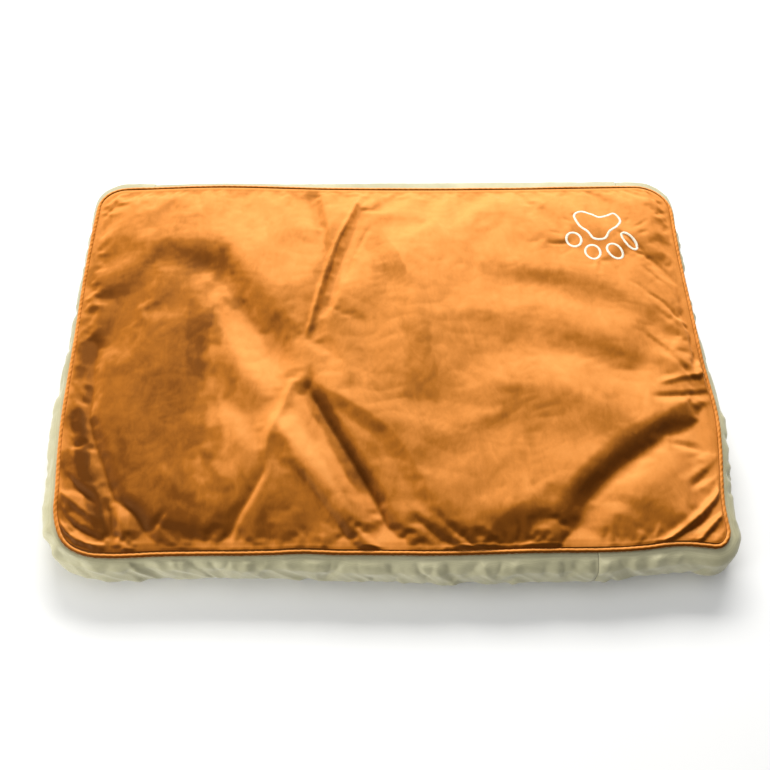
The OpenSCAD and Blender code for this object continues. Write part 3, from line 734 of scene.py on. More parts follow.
def tape_material():
    """Herringbone twill: slanting threads that turn at each stripe."""
    n = Nodes("zip_twill", roughness=0.68, sheen=0.25, specular=0.25)
    rise = n.waves(300, "DIAGONAL", 0.2, n.stretched((1, 0, 1)))
    fall = n.waves(300, "DIAGONAL", 0.2, n.stretched((1, 0, -1)))
    stripe = n.waves(150, "Z")
    twill = n.mix(n.maths("GREATER_THAN", stripe, 0.5), rise, fall)
    tone = n.noise(40, 4, 0.6)
    colour = n.ramp(tone, (0.35, (0.56, 0.51, 0.36)), (0.65, (0.68, 0.63, 0.47)))
    colour = n.mix(0.3, colour, n.ramp(twill, (0.2, (0.6, 0.6, 0.6)), (0.8, (1.1, 1.1, 1.1))), "MULTIPLY")
    return n.finish(colour, n.bump(twill, 0.12 * MM, 0.7))


def nonwoven_material(name="nonwoven"):
    """Spun-bonded cloth: random fibres pressed together in a grid of small bond points."""
    n = Nodes(name, roughness=0.62, sheen=0.2, specular=0.3)
    fibres = n.noise(1500, 4, 0.7, 2.5)
    dots = n.maths("MULTIPLY", n.waves(130, "X"), n.waves(130, "Y"))
    clouds = n.noise(45, 5, 0.65)
    colour = n.ramp(clouds, (0.3, (0.74, 0.74, 0.71)), (0.7, (0.90, 0.90, 0.88)))
    shade = n.ramp(fibres, (0.35, (0.75, 0.75, 0.75)), (0.65, (1.05, 1.05, 1.05)))
    colour = n.mix(0.25, colour, shade, "MULTIPLY")
    normal = n.bump(fibres, 0.15 * MM, 0.5)
    return n.finish(colour, n.bump(dots, 0.1 * MM, 0.5, normal))


def fibre_material():
    n = Nodes("polyester_fibre", roughness=0.85, sheen=0.5, sheen_roughness=0.5, specular=0.2)
    strands = n.noise(420, 6, 0.75, 6.0)
    lumps = n.noise(28, 4, 0.6, 1.0)
    colour = n.ramp(lumps, (0.3, (0.78, 0.78, 0.76)), (0.7, (0.94, 0.94, 0.93)))
    colour = n.mix(0.3, colour, n.ramp(strands, (0.4, (0.7, 0.7, 0.7)), (0.6, (1.1, 1.1, 1.1))), "MULTIPLY")
    return n.finish(colour, n.bump(strands, 1.5 * MM, 0.7))


def ribbon_material():
    """Blank satin ribbon with a woven edge."""
    n = Nodes("label_satin", roughness=0.42, sheen=0.2, specular=0.5, anisotropic=0.3)
    threads = n.waves(420, "Z", 0.3)
    tone = n.noise(120, 3, 0.5)
    colour = n.ramp(tone, (0.35, (0.62, 0.62, 0.60)), (0.65, (0.72, 0.72, 0.70)))
    return n.finish(colour, n.bump(threads, 0.05 * MM, 0.5), n.between(tone, 0.36, 0.5))


def floor_material():
    n = Nodes("studio_floor", roughness=0.85, specular=0.1)
    tone = n.noise(3, 3, 0.5)
    return n.finish(n.ramp(tone, (0.3, (0.86, 0.86, 0.855)), (0.7, (0.88, 0.88, 0.875))))


PLUSH = plush_material()
# the piping is the same plush as the top, its colour raised by 5% as painted light
PIPING = plush_material("piping_plush", 1.05)
CREAM = woven_material("gusset_weave", (0.35, 0.325, 0.19), (0.49, 0.455, 0.285), 1500, 0.52, 0.3, 0.36)
BASE = woven_material("base_weave", (0.42, 0.39, 0.28), (0.56, 0.53, 0.40), 900, 0.72, 0.2, 0.25)
CORD = woven_material("cord_cotton", (0.66, 0.63, 0.56), (0.84, 0.81, 0.74), 2400, 0.9, 0.4, 0.2)
THREAD = thread_material()
ENAMEL = enamel_material()
COIL = coil_material()
TAPE = tape_material()
NONWOVEN = nonwoven_material()
BACKING = nonwoven_material("tear_away_backing")
FIBRE = fibre_material()
RIBBON = ribbon_material()


def declare(obj, node):
    """The piece takes the place of a node, whose CAD part it hides, and lies on the cushion's body."""
    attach(obj, "cushion")
    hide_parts(node)
    return obj


# ---------- the top cloth ----------

NU, NV = 385, 265
SIM_STEP = 3        # the simulated grid takes every third point
SIM_FRAMES = 20
SIM_CAP = 8 * MM    # a point moves no further than this
SIM_BLURS = 60      # rounds of blurring that tell the broad lift, which is left out, from the wrinkles


def distance_to_seam(x, y):
    tree = KDTree(SEAM_N)
    for k, (px, py) in enumerate(SEAM):
        tree.insert((px, py, 0), k)
    tree.balance()
    return np.array([tree.find((a, b, 0))[2] for a, b in zip(x.ravel(), y.ravel())]).reshape(x.shape)


def stretched_between(coarse, nu, nv):
    """A coarse grid of values drawn out smoothly to a finer grid."""
    def along(values, count):
        n = len(values)
        at = np.linspace(0, n - 1, count)
        k = np.clip(np.floor(at).astype(int), 0, n - 2)
        t = (at - k).reshape(-1, *[1] * (values.ndim - 1))
        before, after = values[np.clip(k - 1, 0, n - 1)], values[np.clip(k + 2, 0, n - 1)]
        return catmull_rom(before, values[k], values[k + 1], after, t)
    return along(along(coarse, nu).swapaxes(0, 1), nv).swapaxes(0, 1)


def settled(points, inset):
    """The top cloth after a cloth simulation: sewn down all round, cut too big, and pushed up by the pad."""
    coarse = points[::SIM_STEP, ::SIM_STEP]
    nu, nv = coarse.shape[:2]
    obj = mesh_object("settling", coarse.reshape(-1, 3), [grid_faces(nu, nv)])
    group = obj.vertex_groups.new(name="sewn")
    held = 0.07 + 0.93 * smooth(1 - (inset[::SIM_STEP, ::SIM_STEP] - PIPING_R) / (10 * MM))
    for k, weight in enumerate(held.ravel()):
        group.add([k], float(weight), "REPLACE")
    cloth = obj.modifiers.new("cloth", "CLOTH")
    settings = cloth.settings
    settings.quality = 5
    settings.mass = 0.3
    settings.tension_stiffness = settings.compression_stiffness = 12
    settings.shear_stiffness = 4
    settings.bending_stiffness = 1.5
    settings.shrink_min = -0.025
    settings.use_pressure = True
    settings.uniform_pressure_force = 0.6
    settings.vertex_group_mass = "sewn"
    settings.effector_weights.gravity = 0
    cloth.point_cache.frame_end = SIM_FRAMES
    scene = bpy.context.scene
    for frame_number in range(1, SIM_FRAMES + 1):
        scene.frame_set(frame_number)
    moved = obj.evaluated_get(bpy.context.evaluated_depsgraph_get()).data
    after = np.empty(len(moved.vertices) * 3, dtype=np.float32)
    moved.vertices.foreach_get("co", after)
    bpy.data.objects.remove(obj)
    scene.frame_set(1)
    shift = after.reshape(nu, nv, 3) - coarse
    broad = shift[..., 2].copy()
    for _ in range(SIM_BLURS):
        wide = np.pad(broad, 1, mode="edge")
        broad = (wide[:-2, 1:-1] + wide[2:, 1:-1] + wide[1:-1, :-2] + wide[1:-1, 2:]) / 4
    shift[..., 2] -= broad
    size = np.linalg.norm(shift, axis=2, keepdims=True)
    shift *= SIM_CAP * np.tanh(size / SIM_CAP) / np.maximum(size, 1e-9)
    amount = smooth((inset - PIPING_R) / (8 * MM)) * (0.4 + 0.35 * smooth(1 - inset / (80 * MM)))
    settled_points = points + stretched_between(shift, NU, NV) * amount[..., None]
    return np.moveaxis(settled_points, 2, 0)


def make_top():
    edge = SEAM - SEAM_OUT * (PIPING_R + GAP)
    place = coons(edge, SEAM_CORNERS, NU, NV)
    x, y = place[..., 0].copy(), place[..., 1].copy()
    share = share_out(NU, NV)
    z = top_height(x, y, share)
    inset = distance_to_seam(x, y)
    x, y, z = settled(np.stack([x, y, z], axis=2), inset)
    floor_z = EDGE_Z + 0.2 * MM - 0.16 * np.maximum(inset - FLANGE - 2 * MM, 0)
    over = z - floor_z
    z = floor_z + (over + np.sqrt(over ** 2 + (1.6 * MM) ** 2)) / 2
    hold = smooth(1 - (inset - PIPING_R) / (5 * MM))
    z = z * (1 - hold) + EDGE_Z * hold
    outer = np.stack([x, y, z], axis=2)
    inner = outer - grid_normals(outer) * PANEL_T
    obj = shell("plush_top", outer, inner, PLUSH)
    # the attribute holds brush marks in the nap together with painted shade and painted highlight along the
    # folds
    tone_layer = obj.data.attributes.new("nap_and_painted_light", "FLOAT", "POINT")
    tone_layer.data.foreach_set("value", np.tile(nap_tone_and_painted_light(x, y).ravel(), 2).astype(np.float32))
    return obj


top = declare(make_top(), "top_panel")
top_tree = BVHTree.FromObject(top, bpy.context.evaluated_depsgraph_get())


def top_at(x, y):
    """The top cloth's upper face above a place: its height and its normal."""
    hit = top_tree.ray_cast(Vector((x, y, RAY_FROM)), Vector((0, 0, -1)))
    return hit[0].z, hit[1]


# ---------- the piping ----------

def path_normals(path):
    """Unit normals, to the left, of a path in a plane."""
    step = np.gradient(path, axis=0)
    step /= np.linalg.norm(step, axis=1, keepdims=True)
    return np.stack([-step[:, 1], step[:, 0]], axis=1)


def two_faces(path, thickness):
    """The two faces of a cloth whose middle follows a path in a plane."""
    side = path_normals(path) * thickness / 2
    return path + side, path - side


def around(profiles):
    """Sweeps (outwards, up) profiles, one for each place of the seam, along its height: a grid of points."""
    xy = SEAM[:, None] + SEAM_OUT[:, None] * profiles[..., 0][..., None]
    return np.dstack([xy, profiles[..., 1] + SEAM_HEIGHT[:, None]])


def make_piping():
    cloth_t = 0.7 * MM
    mid_r = PIPING_R - cloth_t / 2
    ply = cloth_t / 2 + 0.02 * MM
    turn = math.asin(ply / mid_r)
    angle = np.linspace(math.pi - turn, turn - math.pi, 22)
    loop = np.stack([mid_r * np.cos(angle), mid_r * np.sin(angle)], axis=1)
    reach = np.linspace(-FLANGE, loop[0, 0], 8, endpoint=False)
    path = np.concatenate([np.stack([reach, np.full(8, ply)], axis=1), loop,
                           np.stack([reach[::-1], np.full(8, -ply)], axis=1)])
    face, back = two_faces(path, cloth_t)
    twist = 2 * math.pi * np.round(PERIMETER / (9 * MM)) / PERIMETER
    phase = np.arctan2(face[:, 1], face[:, 0])
    ridge = 0.16 * MM * np.cos(2 * phase[None] + SEAM_AT[:, None] * twist)
    ripples = int(PERIMETER / (6 * MM))
    ridge += 0.14 * MM * noise(SEAM_AT[:, None], phase[None] * 0.002, ripples / PERIMETER, 8, ripples)
    on_loop = (np.hypot(face[:, 0], face[:, 1]) < PIPING_R * 1.02)[None] * 1.0
    scale = 1 + ridge * on_loop / PIPING_R
    outer = around(face[None] * scale[..., None])
    inner = around(np.repeat(back[None], SEAM_N, axis=0))
    return shell("piping", outer, inner, PIPING, wrap_u=True)


def make_cord():
    """Three twisted strands in the piping."""
    m = 18
    angle = np.linspace(0, 2 * math.pi, m, endpoint=False)
    turns = 2 * math.pi * np.round(PERIMETER / (14 * MM)) / PERIMETER
    strands = abs(np.cos(1.5 * angle[None] - SEAM_AT[:, None] * turns * 1.5))
    r = (PIPING_R - 0.95 * MM) * (0.86 + 0.14 * strands)
    ring = np.stack([r * np.cos(angle), r * np.sin(angle)], axis=2)
    return tube("piping_filler", None, around(ring), CORD, closed=True)


piping = declare(make_piping(), "piping_cover")
declare(make_cord(), "piping_cord")

# ---------- the gusset ----------

WRAP_R = PIPING_R + GAP + GUSSET_T / 2                # the gusset's middle, round the piping
TURNED = -(0.7 * MM + GUSSET_T / 2 + GAP + 0.06 * MM)  # its turned-in top, below the seam line
FOOT_Z = GUSSET_T + GAP + GUSSET_T / 2                # its foot, on the base cloth
FACING_HALF = facing_lo[2] - ZIP_Z                    # from the chain's middle to a facing's edge
FLAT_HALF = FACING_HALF + 9.5 * MM                    # from there to where the gusset starts to curve


def bulge_share():
    """How far the gusset stands out at each place of the seam, as a share of the CAD gusset."""
    x, y = SEAM.T / MM
    front, left = smooth(-SEAM_OUT[:, 1] - 0.1), smooth(-SEAM_OUT[:, 0] - 0.1)
    along_left = np.interp(y, [-330, -200, -60, 60, 160, 330], [0.9, 0.95, 0.8, 0.55, 0.4, 0.45])
    along_right = np.interp(y, [-330, -230, -100, 40, 330], [0.82, 0.78, 0.6, 0.36, 0.4])
    along_front = np.interp(x, [-475, -400, -320, -200, -120, 0, 150, 285, 370, 475],
                            [0.85, 0.62, 0.46, 0.66, 0.84, 0.95, 0.96, 1.06, 0.86, 0.8])
    share = left * along_left + (1 - left) * along_right
    share = front * along_front + (1 - front) * share
    count = WAVES // 2
    share += 0.06 * noise(SEAM_AT, 0, count / PERIMETER, 5, count)
    rear = smooth((SEAM_OUT[:, 1] - 0.05) / 0.9)
    return share * (1 - rear) + rear


BULGE_SHARE = bulge_share()


def gusset_paths(up_end, down_start):
    """The gusset's middle line as (outwards, up), in two parts.

    The upper runs from its turned-in top to up_end, and the lower from down_start to its foot.
    """
    start = math.pi + math.asin(-TURNED / WRAP_R)
    wrap = np.linspace(start, 1.5 * math.pi, 6)
    quarter = np.linspace(0, math.pi / 2, 15)
    shoulder, knee = SEAM_Z - WRAP_R, ZIP_Z + FLAT_HALF
    hip = ZIP_Z - FLAT_HALF
    flange = np.linspace(-FLANGE, WRAP_R * math.cos(start), 5, endpoint=False)
    upper = np.concatenate([
        np.stack([flange, np.full(5, SEAM_Z + TURNED)], axis=1),
        np.stack([WRAP_R * np.cos(wrap), SEAM_Z + WRAP_R * np.sin(wrap)], axis=1)[:-1],
        np.stack([BULGE * np.sin(quarter), knee + (shoulder - knee) * np.cos(quarter)], axis=1),
        np.stack([np.full(9, BULGE), np.linspace(knee, up_end, 10)[1:]], axis=1)])
    lower = np.concatenate([
        np.stack([np.full(9, BULGE), np.linspace(down_start, hip, 10)[:-1]], axis=1),
        np.stack([BULGE * np.sin(quarter), hip + (FOOT_Z - hip) * np.cos(quarter)], axis=1)[::-1],
        np.stack([np.linspace(0, -10 * MM, 6)[1:], np.full(5, FOOT_Z)], axis=1)])
    return upper, lower


def gusset_wrinkles(v_up):
    """How far the gusset stands out from its smooth shape. v_up is 0 at the foot and 1 at the piping."""
    proud = np.zeros((SEAM_N, len(v_up)))
    at = SEAM_AT[:, None]
    for root, away, count in ((1.0, -1, 230), (0.0, 1, 110)):
        for place in np.sort(rng.uniform(0, PERIMETER, count)):
            width = rng.uniform(3.5, 11) * MM
            height = rng.choice([1.0, -1.0], p=[0.4, 0.6]) * rng.uniform(0.8, 4.2) * MM
            length = rng.uniform(0.35, 1.0)
            lean = rng.uniform(-1, 1) * 46 * MM
            depth = (v_up[None] - root) * away
            gap = (at - place - lean * depth + PERIMETER / 2) % PERIMETER - PERIMETER / 2
            ridge = np.exp(-(abs(gap) / width) ** 1.5) * smooth(1 - depth / length) * smooth(depth / 0.06)
            proud += height * ridge
    spans = int(PERIMETER / 0.055)
    slant = 0.022 * (2 * v_up[None] - 1)
    proud += 2.4 * MM * noise(at + slant, v_up[None] * 0.05, spans / PERIMETER, 11, spans)
    spans = int(PERIMETER / 0.026)
    sharp = 1 - 2.4 * abs(noise(at + slant, v_up[None] * 0.02, spans / PERIMETER, 12, spans))
    proud += 1.5 * MM * sharp * smooth(v_up * (1 - v_up) * 5)[None]
    busy = 0.22 + 0.78 * smooth(-SEAM_OUT[:, 1:2] * 1.6 + 0.5)
    return 5 * MM * np.tanh(proud * busy / (5 * MM))


def make_gusset_grids():
    """The whole gusset's middle surface round the seam, and how many of its rows are above the chain."""
    upper, lower = gusset_paths(ZIP_Z, ZIP_Z)
    path = np.concatenate([upper, lower[1:]])
    v_up = np.clip((path[:, 1] - FOOT_Z) / (SEAM_Z - WRAP_R - FOOT_Z), 0, 1)
    v_up = np.where(path[:, 0] < 0.5 * MM, np.round(v_up), v_up)
    proud = gusset_wrinkles(v_up)
    near_zip = np.clip(1 - (abs(path[:, 1] - ZIP_Z) - FLAT_HALF + 4 * MM) / (14 * MM), 0, 1)
    calm = 1 - REAR_STRETCH[:, None] * (0.55 + 0.45 * smooth(near_zip)[None])
    free = smooth(v_up * (1 - v_up) * 14)[None]
    proud = proud * calm * free
    normal = path_normals(path)
    share = 1 + (BULGE_SHARE[:, None] - 1) * (path[:, 0] > 0)[None]
    out = path[None, :, 0] * share + normal[None, :, 0] * proud
    up = path[None, :, 1] + normal[None, :, 1] * proud
    low_limit = FOOT_Z + 0.2 * MM * (v_up > 0)[None]
    up = np.maximum(up, low_limit)
    top_part = smooth(v_up)[None]
    grid = np.stack([out, up + (SEAM_HEIGHT - SEAM_Z)[:, None] * top_part], axis=2)
    return grid, len(upper)


GUSSET_GRID, UPPER_COUNT = make_gusset_grids()


def seam_index(x, side):
    """The seam's place nearest to x on the front or the back."""
    on_side = SEAM[:, 1] * (1 if side == BACK else -1) > HALF_D - 15 * MM
    gap = np.where(on_side, abs(SEAM[:, 0] - x), 9)
    return int(np.argmin(gap))


def stretch_of(first, last):
    """Seam indices from first to last, anticlockwise."""
    return (first + np.arange((last - first) % SEAM_N + 1)) % SEAM_N


def sewn_cloth(name, middle):
    """A gusset cloth round its middle surface, cut back at both ends to leave room for the seams."""
    trim = SEAM_GAP / STEP
    middle[0] += (middle[1] - middle[0]) * trim
    middle[-1] += (middle[-2] - middle[-1]) * trim
    side = grid_normals(middle) * GUSSET_T / 2
    return shell(name, middle + side, middle - side, CREAM)


def gusset_band(name, first, last):
    """One band of the gusset. Each end is pulled in a little by the seam that joins it to the next cloth."""
    indices = stretch_of(first, last)
    grid = GUSSET_GRID[indices].copy()
    at = np.arange(len(indices)) * STEP
    for gap in (at, at[::-1]):
        grid[..., 0] -= (1.6 * MM * np.exp(-(gap / (3 * MM)) ** 2))[:, None] * (grid[..., 0] > 2 * MM)
    xy = SEAM[indices][:, None] + SEAM_OUT[indices][:, None] * grid[..., 0:1]
    return sewn_cloth(name, np.dstack([xy, grid[..., 1]]))


rear_left = seam_index(-ZIP_HALF - GAP, BACK)
rear_right = seam_index(ZIP_HALF + GAP, BACK)
front_join = seam_index(JOIN_X, FRONT)
band_left = declare(gusset_band("gusset_band_left", rear_left, front_join),
                    "gusset_left_front")
band_right = declare(gusset_band("gusset_band_right", front_join, rear_right),
                     "gusset_right")


def hemmed_path(path, edge_z, hem, up):
    """The path's end at the zip, folded back inside to make a hem."""
    r = GUSSET_T / 2 + 0.05 * MM
    way = 1 if up else -1
    turn = np.linspace(0, math.pi, 7)[1:]
    straight = path[:-1]
    bend = np.stack([BULGE - r + r * np.cos(turn), edge_z + way * (r - r * np.sin(turn))], axis=1)
    back = np.stack([np.full(6, BULGE - 2 * r), edge_z + way * np.linspace(r, hem, 7)[1:]], axis=1)
    last = np.array([[BULGE, edge_z + way * r]])
    return np.concatenate([straight, last, bend, back])


def zip_facing(name, up):
    """Upper or lower strip of the zipped panel, with its hem beside the chain."""
    edge_z = ZIP_Z + (FACING_HALF if up else -FACING_HALF)
    upper, lower = gusset_paths(edge_z, edge_z)
    path = upper if up else lower[::-1]
    indices = stretch_of(rear_right, rear_left)
    count = len(path)
    hem_path = hemmed_path(path, edge_z, 9 * MM, up)
    grid = np.repeat(hem_path[None], len(indices), axis=0)
    source = GUSSET_GRID[indices][:, :UPPER_COUNT] if up else GUSSET_GRID[indices][:, :UPPER_COUNT - 2:-1]
    smooth_upper, smooth_lower = gusset_paths(ZIP_Z, ZIP_Z)
    plain = smooth_upper if up else smooth_lower[::-1]
    moved = source[:, :count] - plain[None, :count]
    moved[:, count - 10:] *= 0
    grid[:, :count - 1] += moved[:, :count - 1]
    xy = SEAM[indices][:, None] + SEAM_OUT[indices][:, None] * grid[..., 0:1]
    true_y = HALF_D + grid[..., 0]
    near = smooth((true_y - HALF_D - 12 * MM) / (10 * MM))
    xy[..., 1] = xy[..., 1] * (1 - near) + true_y * near
    return sewn_cloth(name, np.dstack([xy, grid[..., 1]]))


for up in (True, False):
    word = "upper" if up else "lower"
    facing = declare(zip_facing(f"zip_strip_{word}", up), f"zip_facing_{word}")


# ---------- the zip ----------

def zip_tape(word):
    """The upper or lower tape, slightly uneven as woven tape is."""
    lo, hi = (np.array(c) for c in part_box(f"zip_tape_{word}"))
    x = np.linspace(lo[0], hi[0], 391)
    z = np.linspace(lo[2], hi[2], 15)
    gx, gz = np.meshgrid(x, z, indexing="ij")
    wave = 0.06 * MM * noise(gx, gz, 60, 13)
    outer = np.stack([gx, np.full_like(gx, hi[1]) - 0.06 * MM + wave, gz], axis=2)
    inner = np.stack([gx, np.full_like(gx, lo[1]) + 0.06 * MM + wave, gz], axis=2)
    tape = declare(shell(f"zip_twill_{word}", outer, inner, TAPE), f"zip_tape_{word}")


def zip_coil(word):
    """A monofilament wound in a flattened helix along the tape's edge."""
    lo, hi = (np.array(c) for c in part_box(f"zip_coil_{word}"))
    wire, pitch, per_turn, sides = 0.34 * MM, 1.48 * MM, 14, 6
    centre = (lo + hi) / 2
    across = (hi[2] - lo[2]) / 2 - wire
    high = (hi[1] - lo[1]) / 2 - wire
    turns = int((hi[0] - lo[0] - 4 * wire) / pitch)
    t = np.linspace(0, turns, turns * per_turn + 1)
    angle = 2 * math.pi * t + (0 if word == "upper" else math.pi)

    def squash(c):
        return np.sign(c) * np.abs(c) ** 0.8

    line = np.stack([lo[0] + 2 * wire + t * pitch, centre[1] + high * squash(np.sin(angle)),
                     centre[2] + across * squash(np.cos(angle))], axis=1)
    step = np.gradient(line, axis=0)
    step /= np.linalg.norm(step, axis=1, keepdims=True)
    side = np.cross(step, np.array([1.0, 0, 0]))
    side /= np.linalg.norm(side, axis=1, keepdims=True)
    rise = np.cross(side, step)
    ring = np.linspace(0, 2 * math.pi, sides, endpoint=False)
    c, s = np.cos(ring)[None, :, None], np.sin(ring)[None, :, None]
    rings = line[:, None] + wire * (c * side[:, None] + s * rise[:, None])
    return declare(tube(f"zip_helix_{word}", line, rings, COIL), f"zip_coil_{word}")


def metal_piece(node, name, body, width):
    """A copy of a CAD node's mesh with rounded edges, enamelled."""
    bm = bmesh.new()
    bm.from_mesh(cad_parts[node].data)
    bmesh.ops.remove_doubles(bm, verts=bm.verts, dist=0.002 * MM)
    bmesh.ops.dissolve_limit(bm, angle_limit=math.radians(1), verts=bm.verts, edges=bm.edges)
    mesh = bpy.data.meshes.new(name)
    bm.to_mesh(mesh)
    bm.free()
    obj = placed(name, mesh)
    modifier = obj.modifiers.new("edges", "BEVEL")
    modifier.width = width
    modifier.segments = 3
    modifier.limit_method = "ANGLE"
    modifier.angle_limit = math.radians(35)
    modifier.use_clamp_overlap = True
    baked = bpy.data.meshes.new_from_object(obj.evaluated_get(bpy.context.evaluated_depsgraph_get()))
    obj.modifiers.clear()
    obj.data = baked
    baked.materials.clear()
    baked.materials.append(ENAMEL)
    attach(obj, body)
    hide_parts(node)


EDGE_ROUND = 0.22 * MM
PULL_ROUND = 0.3 * MM

for word in ("upper", "lower"):
    zip_tape(word)
    zip_coil(word)
metal_piece("zip_slider", "slider_casting", "slider", EDGE_ROUND)
metal_piece("zip_pull", "pull_casting", "pull", PULL_ROUND)
metal_piece("zip_bottom_stop", "stop_bottom", "cushion", EDGE_ROUND)
for word in ("upper", "lower"):
    metal_piece(f"zip_top_stop_{word}", f"stop_top_{word}", "cushion", EDGE_ROUND)


def stitch_line(name, points, outward, length=2.6 * MM, gap=0.7 * MM, r=0.24 * MM):
    """Lockstitches along a row of points: short rounded stitches that dip at their ends."""
    run = run_along(points)
    starts = np.arange(0, run[-1] - length, length + gap)
    steps, sides = 7, 6
    stitches = []
    ring = np.linspace(0, 2 * math.pi, sides, endpoint=False)
    for start in starts:
        t = np.linspace(0, 1, steps)
        line = np.stack([np.interp(start + t * length, run, points[:, k]) for k in range(3)], axis=1)
        way = line[-1] - line[0]
        way /= np.linalg.norm(way)
        k = min(int(np.searchsorted(run, start)), len(points) - 1)
        out = outward[k]
        across = np.cross(way, out)
        line = line + out * (np.sin(math.pi * t) ** 0.5 * 0.28 * MM - 0.1 * MM)[:, None]
        girth = r * (0.55 + 0.45 * np.sin(math.pi * t) ** 0.5)
        c, s = np.cos(ring)[None, :, None], np.sin(ring)[None, :, None]
        rings = line[:, None] + girth[:, None, None] * (c * out + s * across)
        stitches.append(np.concatenate([rings.reshape(-1, 3), line[:1], line[-1:]]))
    offset = np.arange(len(stitches)) * (steps * sides + 2)

    def for_each_stitch(faces):
        return (faces[None] + offset[:, None, None]).reshape(-1, faces.shape[1])

    caps = np.concatenate([fan(sides, 0, steps * sides, flip=True),
                           fan(sides, (steps - 1) * sides, steps * sides + 1)])
    faces = [for_each_stitch(grid_faces(steps, sides, 0, wrap_v=True)), for_each_stitch(caps)]
    obj = facing_out(mesh_object(name, np.concatenate(stitches), faces, THREAD))
    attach(obj, "cushion")


for up in (True, False):
    z = ZIP_Z + (FACING_HALF + 7 * MM) * (1 if up else -1)
    x = np.linspace(-ZIP_HALF + 2 * MM, ZIP_HALF - 2 * MM, 400)
    y = np.full_like(x, HALF_D + BULGE + GUSSET_T / 2)
    stitch_line(f"zip_stitching_{'upper' if up else 'lower'}", np.stack([x, y, np.full_like(x, z)], axis=1),
                np.tile([0.0, 1.0, 0.0], (400, 1)))


# ---------- the paw ----------

PAW = np.array([HALF_W / MM - 130, HALF_D / MM - 95])
PALM = [(-37, 20), (-26, 29), (-11, 25), (3, 17), (17, 22), (30, 28), (38, 12), (30, -3), (17, -14), (7, -29),
        (-10, -29), (-19, -15), (-31, -2)]
TOES = [((-43, -31), 14, 12, 90), ((-15, -56), 14, 12, 90), ((21, -54), 15, 11, 125), ((47, -32), 18, 8, 122)]
STITCH_W = 3.8 * MM
THREAD_PITCH = 0.42 * MM


def closed_spline(places, per_span=24):
    p = np.array(places, dtype=float)
    t = np.linspace(0, 1, per_span, endpoint=False)[:, None]
    quads = zip(np.roll(p, 1, axis=0), p, np.roll(p, -1, axis=0), np.roll(p, -2, axis=0))
    return np.concatenate([catmull_rom(a, b, c, d, t) for a, b, c, d in quads])


def toe_outline(middle, long_half, short_half, angle):
    a = np.linspace(0, 2 * math.pi, 120, endpoint=False)
    c, s = math.cos(math.radians(angle)), math.sin(math.radians(angle))
    x, y = long_half * np.cos(a), short_half * np.sin(a)
    return np.array(middle) + np.stack([x * c - y * s, x * s + y * c], axis=1)


def satin_outline(name, node, outline):
    """Satin stitch: threads laid side by side across a closed line, each a rounded ridge."""
    line = (outline + PAW) * MM
    line = np.concatenate([line, line[:1]])
    run = run_along(line)
    threads = int(run[-1] / THREAD_PITCH)
    per_thread = 4
    n = threads * per_thread
    at = np.linspace(0, run[-1], n, endpoint=False)
    x, y = np.interp(at, run, line[:, 0]), np.interp(at, run, line[:, 1])
    way = np.stack([np.roll(x, -2) - np.roll(x, 2), np.roll(y, -2) - np.roll(y, 2)], axis=1)
    way /= np.linalg.norm(way, axis=1, keepdims=True)
    out = np.stack([way[:, 1], -way[:, 0]], axis=1)
    phase = np.arange(n) % per_thread / per_thread
    ridge = 0.5 + 0.5 * np.cos(2 * math.pi * phase)
    each = np.repeat(rng.uniform(-1, 1, threads), per_thread)
    half = STITCH_W / 2 * (1 + 0.07 * each + 0.05 * ridge)
    t = np.linspace(-1, 1, 9)
    dome = (1 - np.abs(t) ** 2.6)
    points = np.zeros((n, 11, 3))
    for i in range(n):
        for j, s in enumerate(t):
            slant = 0.12 * s * THREAD_PITCH * 4
            px = x[i] + out[i, 0] * half[i] * s + way[i, 0] * slant
            py = y[i] + out[i, 1] * half[i] * s + way[i, 1] * slant
            base = top_at(px, py)[0]
            proud = 0.62 * MM * dome[j] + 0.13 * MM * (ridge[i] - 0.5) * (0.4 + dome[j])
            points[i, j] = (px, py, base + max(proud, -0.05 * MM) + 0.04 * MM)
        for j, s in ((9, 1), (10, -1)):
            k = 8 if s == 1 else 0
            points[i, j] = points[i, k] + np.array([0, 0, -0.5 * MM])
    obj = tube(name, None, points, THREAD, closed=True)
    return declare(obj, node)


satin_outline("paw_pad_satin", "paw_palm", closed_spline(PALM))
for k, toe in enumerate(TOES, 1):
    satin_outline(f"paw_toe_satin_{k}", f"paw_toe_{k}", toe_outline(*toe))


# ---------- the inner pad, the backing, the base and the label ----------

def under_top(x, y, spread=9 * MM):
    """The lowest height of the top cloth's upper face round a place."""
    heights = []
    for dx, dy in ((0, 0), (spread, 0), (-spread, 0), (0, spread), (0, -spread)):
        hit = top_tree.ray_cast(Vector((x + dx, y + dy, RAY_FROM)), Vector((0, 0, -1)))
        heights.append(hit[0].z if hit[0] else SEAM_Z + 1.2 * MM)
    return min(heights)


PAD_SEAM = pad_hi[0] - HALF_W
PAD_FOOT = 1.9 * MM
PAD_AROUND = 4
pad_ring = np.arange(0, SEAM_N, PAD_AROUND)


def pad_rings(rows):
    """Grids of points from (inset from the seam, height) rows and then shares of the way to the middle."""
    rings = []
    fullness = np.minimum(1, 0.96 * BULGE_SHARE[pad_ring] - 0.04)[:, None]
    for inset, z, share in rows:
        reach = inset * (fullness if inset < 0 else 1)
        xy = (SEAM[pad_ring] - SEAM_OUT[pad_ring] * reach) * share
        xy[:, 1] = np.minimum(xy[:, 1], pad_hi[1] - 0.6 * MM)
        rings.append(np.dstack([xy[:, None], np.full((len(pad_ring), 1), z)])[:, 0])
    return np.stack(rings)


PAD_ROOF = SEAM_Z - 4.2 * MM


def pad_side(angles, end_z):
    """Rows of the pad's rounded side, from its seam at the zip's height to end_z."""
    return [(-PAD_SEAM * math.cos(t) + FLANGE * (1 - math.cos(t)), ZIP_Z + (end_z - ZIP_Z) * math.sin(t), 1)
            for t in angles]


